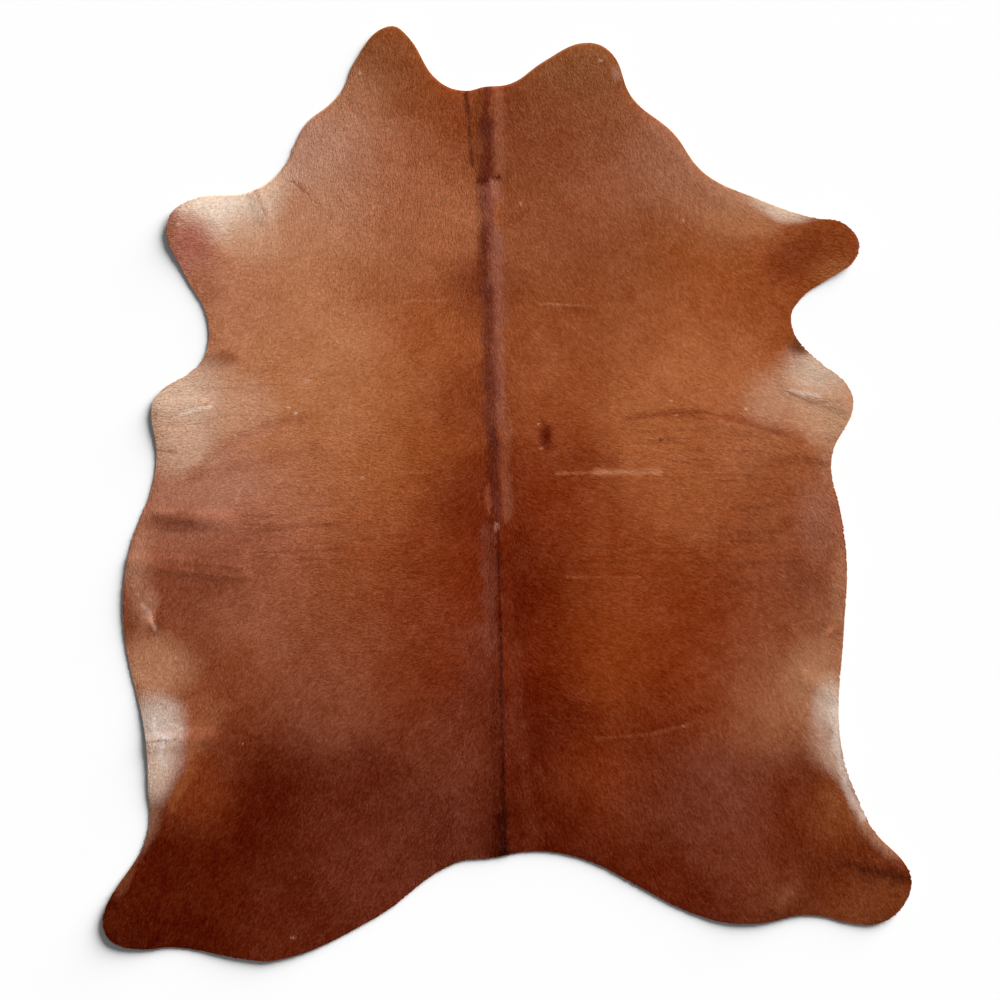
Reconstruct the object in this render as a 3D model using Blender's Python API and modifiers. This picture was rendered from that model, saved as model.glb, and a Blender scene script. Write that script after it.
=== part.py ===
"""A hair-on cow hide: one tanned skin with its short coat, lying flat with the hair side up.

Run it with blender --background --python part.py, or from Blender's text editor. Lengths are in
metres. +Y points to the neck, -Y to the hind legs, +X to the right flank as seen from above, and +Z
up. The origin is under the middle of the hide, on the surface that it lies on.
"""

from collections import namedtuple

import bpy
import numpy as np
from mathutils.geometry import delaunay_2d_cdt

# Driving dimensions.
LENGTH = 2.136  # from the tip of the neck to the end of the longer hind leg
WIDTH = 1.845  # from one hind leg to the other
SKIN = 0.0028  # the tanned leather
COAT = 0.0032  # the short hair that lies on it
CELL = 0.034  # between points inside the edge
EDGE_STEPS = 5  # straight steps from one point of the edge to the next
CLEAR = 0.55  # of a cell, that a point inside keeps from the edge and from the folds
FOLD_STEP = 0.028  # between points along a fold
INSIDE_ONLY = 1  # the triangulation keeps the triangles inside the edge and no others
SAME_POINT = 1e-6  # nearer points than this are one

HALF = np.array([WIDTH, LENGTH]) / 2

# The trimmed edge, one row for each stretch, round the hide against the clock. A point is how far it
# lies across and along the hide, as shares of half the width and half the length.
EDGE = {
    "neck, left lobe": [(-0.250, 0.982), (-0.287, 1.000), (-0.383, 0.918), (-0.408, 0.865)],
    "neck, left side": [(-0.440, 0.832), (-0.498, 0.793), (-0.528, 0.747), (-0.546, 0.709)],
    "left foreleg, top": [(-0.622, 0.650), (-0.777, 0.630), (-0.842, 0.579)],
    "left foreleg, back": [(-0.798, 0.464), (-0.744, 0.376), (-0.750, 0.291)],
    "left elbow": [(-0.779, 0.263), (-0.859, 0.217), (-0.879, 0.189), (-0.868, 0.082)],
    "left belly": [(-0.884, 0.001), (-0.905, -0.040), (-0.939, -0.129), (-0.949, -0.295)],
    "left flank": [(-0.896, -0.518), (-0.889, -0.631), (-0.890, -0.725)],
    "left hind leg": [(-1.000, -0.900), (-0.997, -0.936), (-0.976, -0.960), (-0.887, -0.975)],
    "left thigh": [(-0.839, -0.970), (-0.641, -0.997), (-0.581, -1.000), (-0.324, -0.907)],
    "tail": [(-0.127, -0.790), (-0.037, -0.780), (0.040, -0.767), (0.130, -0.770)],
    "right thigh": [(0.231, -0.797), (0.282, -0.821), (0.501, -0.911), (0.618, -0.920)],
    "right hind leg, bottom": [(0.726, -0.902), (0.769, -0.903), (0.854, -0.920), (0.934, -0.915)],
    "right hind leg, top": [(0.991, -0.864), (1.000, -0.829), (0.994, -0.802)],
    "right flank": [(0.907, -0.718), (0.886, -0.685), (0.827, -0.542)],
    "right belly": [(0.834, -0.283), (0.841, -0.163), (0.829, -0.053), (0.802, 0.074)],
    "right elbow": [(0.857, 0.193), (0.826, 0.248), (0.789, 0.270)],
    "right foreleg, back": [(0.702, 0.367), (0.737, 0.424), (0.774, 0.445), (0.871, 0.519)],
    "right foreleg, top": [(0.827, 0.579), (0.758, 0.589)],
    "neck, right side": [(0.608, 0.635), (0.506, 0.674), (0.469, 0.702), (0.415, 0.769)],
    "neck, right lobe": [(0.310, 0.846), (0.260, 0.941), (0.200, 0.964), (0.088, 0.923)],
    "nape": [(0.008, 0.876), (-0.062, 0.869), (-0.094, 0.861), (-0.164, 0.878)],
}

# Where the hide doesn't lie quite down: a low swell round a place, which has none of its height left
# at its reach.
Lift = namedtuple("Lift", "place across along reach height")
LIFTS = [
    Lift("neck, left lobe", -0.290, 1.010, 0.17, 0.007),
    Lift("neck, right lobe", 0.210, 0.980, 0.16, 0.005),
    Lift("left foreleg", -0.860, 0.600, 0.19, 0.009),
    Lift("right foreleg", 0.890, 0.560, 0.20, 0.010),
    Lift("left elbow", -0.900, 0.170, 0.14, 0.006),
    Lift("right elbow", 0.880, 0.190, 0.14, 0.006),
    Lift("left belly", -0.960, -0.200, 0.17, 0.004),
    Lift("left flank", -0.910, -0.560, 0.17, 0.006),
    Lift("right belly", 0.860, -0.180, 0.17, 0.004),
    Lift("right flank", 0.850, -0.500, 0.17, 0.005),
    Lift("left hind leg", -1.010, -0.930, 0.21, 0.009),
    Lift("left thigh", -0.600, -1.020, 0.20, 0.005),
    Lift("right hind leg", 1.010, -0.850, 0.20, 0.008),
    Lift("right thigh", 0.620, -0.940, 0.18, 0.005),
]

# Soft ridges that stay in the skin from how it hung and was folded. start and end are places on the
# crest, in the same shares as the edge.
Fold = namedtuple("Fold", "place start end half_width height")
FOLDS = [
    Fold("spine, neck", (-0.057, 0.860), (-0.045, 0.530), 0.030, 0.0030),
    Fold("spine, back", (-0.045, 0.530), (-0.024, -0.060), 0.028, 0.0018),
    Fold("spine, rump", (-0.024, -0.060), (-0.008, -0.760), 0.030, 0.0024),
    Fold("left shoulder", (-0.620, 0.640), (-0.600, 0.590), 0.028, 0.0016),
    Fold("left elbow", (-0.860, 0.180), (-0.760, 0.190), 0.030, 0.0020),
    Fold("right elbow", (0.840, 0.185), (0.690, 0.235), 0.030, 0.0022),
    Fold("right ribs, upper", (0.720, 0.105), (0.480, 0.170), 0.032, 0.0016),
    Fold("right ribs, lower", (0.790, 0.085), (0.600, 0.060), 0.030, 0.0018),
    Fold("left ribs, upper", (-0.850, -0.055), (-0.690, -0.060), 0.030, 0.0022),
    Fold("left ribs, lower", (-0.920, -0.150), (-0.660, -0.170), 0.030, 0.0020),
    Fold("left flank", (-0.880, -0.535), (-0.740, -0.520), 0.030, 0.0026),
    Fold("right flank", (0.820, -0.430), (0.740, -0.400), 0.030, 0.0018),
]


def clear_scene():
    for obj in list(bpy.data.objects):
        bpy.data.objects.remove(obj, do_unlink=True)


def swell(share):
    """1 at share 0 and 0 from share 1 on, level at both."""
    return (1 - np.clip(share, 0, 1) ** 2) ** 2


def off_fold(points, fold):
    """How far each point lies from the straight crest of a fold."""
    start = np.array(fold.start) * HALF
    run = np.array(fold.end) * HALF - start
    share = np.clip((points - start) @ run / (run @ run), 0, 1)
    return np.linalg.norm(points - start - share[:, None] * run, axis=1)


def underside(points):
    """Height of the flesh side at each point: 0 where the hide lies down, plus the swells and folds."""
    height = np.zeros(len(points))
    for fold in FOLDS:
        height = np.maximum(height, fold.height * swell(off_fold(points, fold) / fold.half_width))
    for lift in LIFTS:
        off = np.linalg.norm(points - np.array([lift.across, lift.along]) * HALF, axis=1)
        height += lift.height * swell(off / lift.reach)
    return height


def edge_points():
    """A closed smooth curve through the edge's points, as straight steps, fitted to the two sizes."""
    places = [point for stretch in EDGE.values() for point in stretch]
    curve = bpy.data.curves.new("edge", "CURVE")
    curve.dimensions = "2D"
    curve.fill_mode = "NONE"
    curve.resolution_u = EDGE_STEPS
    spline = curve.splines.new("BEZIER")
    spline.bezier_points.add(len(places) - 1)
    for bezier, (across, along) in zip(spline.bezier_points, places):
        bezier.co = (across * HALF[0], along * HALF[1], 0)
        bezier.handle_left_type = "AUTO"
        bezier.handle_right_type = "AUTO"
    spline.use_cyclic_u = True
    guide = bpy.data.objects.new("edge", curve)
    bpy.context.collection.objects.link(guide)
    bpy.context.view_layer.update()
    mesh = bpy.data.meshes.new_from_object(guide.evaluated_get(bpy.context.evaluated_depsgraph_get()))
    points = np.array([vertex.co[:2] for vertex in mesh.vertices])
    bpy.data.objects.remove(guide, do_unlink=True)
    bpy.data.meshes.remove(mesh)
    low = points.min(axis=0)
    size = points.max(axis=0) - low
    return ((points - low) / size * 2 - 1) * HALF


def fold_points():
    """Points along each fold's crest and along its two feet, so that the mesh keeps its form."""
    rows = []
    for fold in FOLDS:
        start = np.array(fold.start) * HALF
        run = np.array(fold.end) * HALF - start
        length = np.linalg.norm(run)
        side = np.array([-run[1], run[0]]) / length
        shares = np.linspace(0, 1, max(2, round(length / FOLD_STEP) + 1))[:, None]
        rows += [start + shares * run + reach * side for reach in (0, fold.half_width, -fold.half_width)]
    return np.concatenate(rows)


def inside(points, edge):
    """True where a point is nearer to the middle than the edge is in the same direction."""
    turn = np.arctan2(edge[:, 1], edge[:, 0])
    order = np.argsort(turn)
    reach = np.linalg.norm(edge, axis=1)[order]
    found = np.interp(np.arctan2(points[:, 1], points[:, 0]), turn[order], reach, period=2 * np.pi)
    return np.linalg.norm(points, axis=1) < found


def clear_of(points, others, distance):
    gaps = np.linalg.norm(points[:, None] - others[None], axis=2)
    return points[gaps.min(axis=1) > distance]


def thinned(points, distance):
    """The points in order, without any that lies nearer than distance to one already kept."""
    kept = points[:1]
    for point in points[1:]:
        if np.linalg.norm(kept - point, axis=1).min() > distance:
            kept = np.vstack([kept, point])
    return kept


def skin_points(edge):
    """Points inside the edge: those of the folds, and rows a cell apart in between."""
    folds = fold_points()
    folds = thinned(folds[inside(folds, edge)], FOLD_STEP / 2)
    folds = clear_of(folds, edge, FOLD_STEP / 2)
    row_gap = CELL * np.sqrt(3) / 2
    rows = np.arange(-HALF[1], HALF[1], row_gap)
    columns = np.arange(-HALF[0], HALF[0], CELL)
    across, along = np.meshgrid(columns, rows)
    across[1::2] += CELL / 2
    grid = np.column_stack([across.ravel(), along.ravel()])
    grid = grid[inside(grid, edge)]
    grid = clear_of(clear_of(grid, edge, CLEAR * CELL), folds, CLEAR * CELL)
    return np.concatenate([folds, grid])


def coat_material():
    material = bpy.data.materials.new("coat")
    material.use_nodes = True
    shader = material.node_tree.nodes["Principled BSDF"]
    shader.inputs["Base Color"].default_value = (0.27, 0.085, 0.03, 1)
    shader.inputs["Roughness"].default_value = 0.6
    shader.inputs["Metallic"].default_value = 0
    return material


def make_hide(collection):
    """The hide: triangles over its flesh side, thickened upwards by the leather and the coat."""
    edge = edge_points()
    points = np.concatenate([edge, skin_points(edge)])
    around = [list(range(len(edge)))]
    found = delaunay_2d_cdt(points.tolist(), [], around, INSIDE_ONLY, SAME_POINT)
    flat, triangles = np.array(found[0]), found[2]
    mesh = bpy.data.meshes.new("hide")
    mesh.from_pydata(np.column_stack([flat, underside(flat)]).tolist(), [], triangles)
    mesh.shade_smooth()
    hide = bpy.data.objects.new("hide", mesh)
    hide.data.materials.append(coat_material())
    collection.objects.link(hide)
    thicken = hide.modifiers.new("leather and coat", "SOLIDIFY")
    thicken.thickness = SKIN + COAT
    thicken.offset = 1
    return hide


def main():
    clear_scene()
    collection = bpy.data.collections.new("cow hide")
    bpy.context.scene.collection.children.link(collection)
    make_hide(collection)


main()
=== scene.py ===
# %% [markdown]
# # A cow hide with its hair on, lying flat
#
# The real thing is one skin. A tanner leaves the hair on it, softens it and trims its edge, so it
# keeps the outline that the animal gave it: a neck with two lobes, two forelegs, two hind legs. It
# is about 3 mm of leather under 3 mm of short hair that lies flat. From above it is all hair, from
# the side there is a thin pale cut edge, and from below there is suede.
#
# The solid model already has the outline, the size and the places where the hide doesn't lie quite
# down. It can't have hair. This lesson lays a thin skin and then a coat of some four hundred
# thousand small locks over it, and colours each lock by the place where it grows.

# %% Load the solid model
from collections import namedtuple

import bpy
import numpy as np
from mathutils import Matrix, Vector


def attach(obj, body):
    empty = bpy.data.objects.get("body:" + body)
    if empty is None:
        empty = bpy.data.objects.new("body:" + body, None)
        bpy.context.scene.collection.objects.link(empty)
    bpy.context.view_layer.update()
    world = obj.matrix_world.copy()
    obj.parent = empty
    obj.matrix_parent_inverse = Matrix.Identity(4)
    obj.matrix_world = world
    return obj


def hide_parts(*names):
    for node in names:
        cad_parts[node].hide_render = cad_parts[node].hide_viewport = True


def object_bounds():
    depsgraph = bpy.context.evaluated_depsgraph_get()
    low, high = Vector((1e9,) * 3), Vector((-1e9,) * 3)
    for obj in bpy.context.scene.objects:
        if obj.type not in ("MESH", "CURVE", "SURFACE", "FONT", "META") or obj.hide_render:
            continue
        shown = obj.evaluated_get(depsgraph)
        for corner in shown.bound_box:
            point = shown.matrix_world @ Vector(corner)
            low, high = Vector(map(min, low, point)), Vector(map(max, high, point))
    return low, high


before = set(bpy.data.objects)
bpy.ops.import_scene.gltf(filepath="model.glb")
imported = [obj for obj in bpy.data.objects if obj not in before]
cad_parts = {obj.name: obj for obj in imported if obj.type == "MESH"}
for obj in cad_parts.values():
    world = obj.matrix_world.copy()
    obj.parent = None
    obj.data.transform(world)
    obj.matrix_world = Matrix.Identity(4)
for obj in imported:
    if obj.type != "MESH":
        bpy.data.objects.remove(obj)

CAD_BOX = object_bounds()
HALF = (np.array(CAD_BOX[1]) - np.array(CAD_BOX[0]))[:2] / 2
SKIN = 0.0028  # metres of leather
COAT = 0.0032  # metres of lying hair on it
TINY = 1e-6  # metres that keep a division from being by 0
print("the hide is", np.round(HALF * 2, 3), "m across and along")

# %% [markdown]
# ## The cut edge
#
# The outline could be typed in again, but then two lists would have to agree. It is read from the
# solid instead: the faces that stand upright are the cut edge, and their upper sides, chained end to
# end, are the rim. Straight steps of 2 cm would show as corners, so the rim is divided into steps of
# 2 mm and then rounded by letting each point drift towards its neighbours.

# %% Read the rim
UPRIGHT = 0.3  # the most that a face of the cut edge looks up or down, as a share
RIM_STEPS = 3700  # points round the rim, about 2 mm apart
ROUNDING = 32  # rounds of drifting
TUCK = 0.0025  # how far the leather stays inside the solid's rim, to leave room for hair over it


def upper_sides(node):
    """Start and end of the upper side of each triangle that stands upright and has such a side."""
    mesh = node.data
    mesh.calc_loop_triangles()
    points = np.empty(len(mesh.vertices) * 3)
    mesh.vertices.foreach_get("co", points)
    corners = np.empty(len(mesh.loop_triangles) * 3, int)
    mesh.loop_triangles.foreach_get("vertices", corners)
    triangles = points.reshape(-1, 3)[corners.reshape(-1, 3)]
    normals = np.cross(triangles[:, 1] - triangles[:, 0], triangles[:, 2] - triangles[:, 0])
    walls = triangles[np.abs(normals[:, 2]) < UPRIGHT * np.linalg.norm(normals, axis=1)]
    upper = walls[..., 2] > walls[..., 2].mean(axis=1, keepdims=True)
    walls, upper = walls[upper.sum(axis=1) == 2], upper[upper.sum(axis=1) == 2]
    each, lower = np.arange(len(walls)), upper.argmin(axis=1)
    return walls[each, (lower + 1) % 3, :2], walls[each, (lower + 2) % 3, :2]


def rim_of(node):
    """The upper sides run clockwise as seen from above, so each is followed by the one that ends
    where it starts."""
    starts, ends = upper_sides(node)
    gaps = np.linalg.norm(starts[:, None] - ends, axis=2)
    following = gaps.argmin(axis=1)
    chain = [0]
    while len(chain) < len(starts):
        chain.append(following[chain[-1]])
    return starts[chain]


def even_loop(points, steps, rounds):
    """Equal steps along the closed line through the points, then each point moved, as many times
    as there are rounds, to half its own place and a quarter of each neighbour's."""
    closed = np.vstack([points, points[:1]])
    lengths = np.linalg.norm(np.diff(closed, axis=0), axis=1)
    run = np.concatenate([[0], np.cumsum(lengths)])
    places = np.linspace(0, run[-1], steps, endpoint=False)
    loop = np.column_stack([np.interp(places, run, closed[:, axis]) for axis in (0, 1)])
    for _ in range(rounds):
        loop = loop / 2 + (np.roll(loop, 1, axis=0) + np.roll(loop, -1, axis=0)) / 4
    return loop


def inset(loop, distance):
    """Each point moved inwards, square to the line between its neighbours."""
    along = np.roll(loop, -1, axis=0) - np.roll(loop, 1, axis=0)
    outward = np.column_stack([along[:, 1], -along[:, 0]])
    return loop - distance * outward / np.linalg.norm(outward, axis=1, keepdims=True)


RIM = inset(even_loop(rim_of(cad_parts["hide"]), RIM_STEPS, ROUNDING), TUCK)
print("rim:", len(RIM), "points,", round(np.linalg.norm(np.diff(RIM, axis=0), axis=1).sum(), 2), "m")

# %% [markdown]
# ## How far from the edge
#
# The hair at the rim must not reach far past the leather, so each lock has to know how near the cut
# edge it grows. Measuring four hundred thousand locks against 3700 points is slow. A coarse map of
# the distance, read between its knots, is as good and takes two seconds.

# %% Map the distance to the edge
MAP_STEP = 0.006  # metres between its knots
MAP_MARGIN = 0.03  # metres that it reaches past the hide on each side
MAP_LOW = -HALF - MAP_MARGIN


def between(grid, column, row):
    """A grid read between its knots: the four knots round a place, each by its nearness."""
    left = np.floor(column).astype(int)
    low = np.floor(row).astype(int)
    right_share = column - left
    upper_share = row - low
    lower = grid[low, left] * (1 - right_share) + grid[low, left + 1] * right_share
    upper = grid[low + 1, left] * (1 - right_share) + grid[low + 1, left + 1] * right_share
    return lower * (1 - upper_share) + upper * upper_share


def distance_map(loop):
    """Distance to the nearest point of the loop at each knot, below 0 where the knot lies on that
    point's outer side."""
    across, along = (np.arange(low, -low + MAP_STEP, MAP_STEP) for low in MAP_LOW)
    outward = inset(loop, -1) - loop
    rows = []
    for place in along:
        squares = (across[:, None] - loop[:, 0]) ** 2 + (place - loop[:, 1]) ** 2
        nearest = squares.argmin(axis=1)
        offs = np.column_stack([across, np.full(len(across), place)]) - loop[nearest]
        outer = (offs * outward[nearest]).sum(axis=1) > 0
        rows.append(np.where(outer, -1, 1) * np.linalg.norm(offs, axis=1))
    return np.array(rows)


EDGE_MAP = distance_map(RIM)


def from_edge(points):
    """Distance to the edge, read from the map: below 0 outside the hide."""
    column, row = ((points - MAP_LOW) / MAP_STEP).T
    return between(EDGE_MAP, column, row)


print("the place furthest from the edge is", round(EDGE_MAP.max(), 2), "m from it")

# %% [markdown]
# ## Where it doesn't lie down
#
# A tanned hide keeps some memory of how it hung and was folded. Its corners lift a little, a low
# ridge runs down the spine, and a few soft folds cross the elbows, ribs and flanks. These are the
# solid's own, in the same shares of half the width and half the length. The finer creases below them
# are too small for the solid: each is a soft trough, or a ridge where its height is above 0, along a
# listed path. Reaches, half widths and heights are in metres. Adding smooth bumps to a flat
# sheet suits this better than a cloth simulation, which would have no reason to put a crease
# exactly there.

# %% Relief of the hide
Lift = namedtuple("Lift", "place across along reach height")
LIFTS = [
    Lift("neck, left lobe", -0.290, 1.010, 0.17, 0.007),
    Lift("neck, right lobe", 0.210, 0.980, 0.16, 0.005),
    Lift("left foreleg", -0.860, 0.600, 0.19, 0.009),
    Lift("right foreleg", 0.890, 0.560, 0.20, 0.010),
    Lift("left elbow", -0.900, 0.170, 0.14, 0.006),
    Lift("right elbow", 0.880, 0.190, 0.14, 0.006),
    Lift("left belly", -0.960, -0.200, 0.17, 0.004),
    Lift("left flank", -0.910, -0.560, 0.17, 0.006),
    Lift("right belly", 0.860, -0.180, 0.17, 0.004),
    Lift("right flank", 0.850, -0.500, 0.17, 0.005),
    Lift("left hind leg", -1.010, -0.930, 0.21, 0.009),
    Lift("left thigh", -0.600, -1.020, 0.20, 0.005),
    Lift("right hind leg", 1.010, -0.850, 0.20, 0.008),
    Lift("right thigh", 0.620, -0.940, 0.18, 0.005),
]

Fold = namedtuple("Fold", "place path half_width height")
FOLDS = [
    Fold("spine, neck", [(-0.057, 0.860), (-0.045, 0.530)], 0.030, 0.0030),
    Fold("spine, back", [(-0.045, 0.530), (-0.024, -0.060)], 0.028, 0.0018),
    Fold("spine, rump", [(-0.024, -0.060), (-0.008, -0.760)], 0.030, 0.0024),
    Fold("left shoulder", [(-0.620, 0.640), (-0.600, 0.590)], 0.028, 0.0016),
    Fold("left elbow", [(-0.860, 0.180), (-0.760, 0.190)], 0.030, 0.0020),
    Fold("right elbow", [(0.840, 0.185), (0.690, 0.235)], 0.030, 0.0022),
    Fold("right ribs, upper", [(0.720, 0.105), (0.480, 0.170)], 0.032, 0.0016),
    Fold("right ribs, lower", [(0.790, 0.085), (0.600, 0.060)], 0.030, 0.0018),
    Fold("left ribs, upper", [(-0.850, -0.055), (-0.690, -0.060)], 0.030, 0.0022),
    Fold("left ribs, lower", [(-0.920, -0.150), (-0.660, -0.170)], 0.030, 0.0020),
    Fold("left flank", [(-0.880, -0.535), (-0.740, -0.520)], 0.030, 0.0026),
    Fold("right flank", [(0.820, -0.430), (0.740, -0.400)], 0.030, 0.0018),
]
CREASES = [
    Fold("spine, left of the neck ridge",
         [(-0.106, 0.860), (-0.096, 0.810), (-0.087, 0.700)],
         0.006, -0.0005),
    Fold("spine, right of the neck ridge", [(-0.038, 0.850), (-0.035, 0.680)], 0.008, -0.0012),
    Fold("across the spine at the neck", [(-0.075, 0.668), (-0.015, 0.668)], 0.006, -0.0010),
    Fold("left neck, slanting", [(-0.400, 0.840), (-0.358, 0.797)], 0.006, -0.0006),
    Fold("right neck, slanting", [(0.275, 0.608), (0.383, 0.650)], 0.008, 0.0006),
    Fold("left foreleg, above", [(-0.622, 0.648), (-0.592, 0.592)], 0.006, -0.0007),
    Fold("left foreleg, short", [(-0.519, 0.664), (-0.499, 0.643)], 0.005, -0.0007),
    Fold("left elbow, line", [(-0.838, 0.145), (-0.690, 0.164)], 0.006, -0.0006),
    Fold("left waist", [(-0.864, 0.093), (-0.820, 0.092)], 0.006, -0.0006),
    Fold("left armpit, sweep",
         [(-0.510, 0.157), (-0.598, 0.140), (-0.697, 0.103), (-0.741, 0.067), (-0.783, 0.028)],
         0.018, -0.0008),
    Fold("left belly, upper", [(-0.877, -0.053), (-0.783, -0.068)], 0.012, -0.0010),
    Fold("left belly, lower", [(-0.857, -0.150), (-0.660, -0.168)], 0.012, -0.0012),
    Fold("left flank, slit", [(-0.868, -0.533), (-0.808, -0.533)], 0.005, -0.0014),
    Fold("right elbow, fold", [(0.695, 0.221), (0.730, 0.213), (0.765, 0.211)], 0.007, 0.0006),
    Fold("right elbow, arc",
         [(0.292, 0.161), (0.477, 0.174), (0.576, 0.157), (0.687, 0.125)],
         0.012, -0.0006),
    Fold("right waist", [(0.564, 0.088), (0.804, 0.060)], 0.012, -0.0007),
    Fold("right flank, fold", [(0.835, -0.424), (0.780, -0.405)], 0.007, -0.0008),
    Fold("right leg, fold", [(0.835, -0.800), (0.985, -0.830)], 0.014, -0.0012),
]


def swell(share):
    """1 at share 0 and 0 from share 1 on, level at both: (1 - share^2)^2."""
    return (1 - np.clip(share, 0, 1) ** 2) ** 2


def off_path(points, path):
    """Distance from each point to the nearest place on a path of straight stretches."""
    places = np.array(path) * HALF
    gaps = []
    for start, end in zip(places[:-1], places[1:]):
        run = end - start
        share = np.clip((points - start) @ run / (run @ run), 0, 1)
        gaps.append(np.linalg.norm(points - start - share[:, None] * run, axis=1))
    return np.min(gaps, axis=0)


def solid_relief(points):
    """Height of the solid's flesh side: the highest fold at each place, plus every lift."""
    height = np.zeros(len(points))
    for fold in FOLDS:
        height = np.maximum(height, fold.height * swell(off_path(points, fold.path) / fold.half_width))
    for lift in LIFTS:
        off = np.linalg.norm(points - np.array([lift.across, lift.along]) * HALF, axis=1)
        height += lift.height * swell(off / lift.reach)
    return height


def creasing(points, spare=0.0):
    """Sum of the fine troughs, below 0, and ridges, above 0, each wider by the spare on both sides."""
    return sum(
        crease.height * swell(off_path(points, crease.path) / (crease.half_width + spare))
        for crease in CREASES
    )


print(len(LIFTS), "lifts,", len(FOLDS), "folds and", len(CREASES), "fine creases")

# %% [markdown]
# ## Uneven, but the same every time
#
# Nothing on a skin is even. The unevenness is value noise: random numbers at the corners of cells,
# joined smoothly in between. Each use of it has a fixed seed of its own, so every run grows the
# same hide. Cells that are wider than they are long give streaks across the hide.

# %% Smooth noise
LATTICE = 500  # cells after which the pattern comes round again


def soft_noise(points, cell, seed):
    """Random values from -1 to 1 at the corners of cells, joined by 3s^2 - 2s^3 of the share s."""
    corners = np.random.default_rng(seed).uniform(-1, 1, (LATTICE, LATTICE))
    corners = np.pad(corners, (0, 1), mode="wrap")
    place = (points / cell) % LATTICE
    low = np.floor(place)
    share = place - low
    column, row = (low + share * share * (3 - 2 * share)).T
    return between(corners, column, row)


print("noise at three places:", np.round(soft_noise(np.array([[0, 0], [0.1, 0], [0, 0.1]]), 0.07, 1), 2))

# %% [markdown]
# ## The colours of the coat
#
# The coat is reddish brown, but no two places of it match. The neck and shoulders are lighter and
# yellower, the loins burn orange brown, the rump and thighs go to maroon. The hair is thin and pale
# on the elbows, on the flanks and at the top of the forelegs, where white skin shows, and greyish
# where it parts along the spine.
#
# A picture could be painted for this, but two tables of named places are easier to read and to
# correct. The ground says what colour the coat has at places all over it, as a screen shows it, and
# in between it is mixed by nearness. Patches then go over it, where a place differs from what lies
# round it. All are placed in shares of half the width and half the length. Reaches and half sizes are
# in metres, and turns in degrees. The places where the tables are read drift by slow noise, so no
# patch looks like an ellipse.

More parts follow.
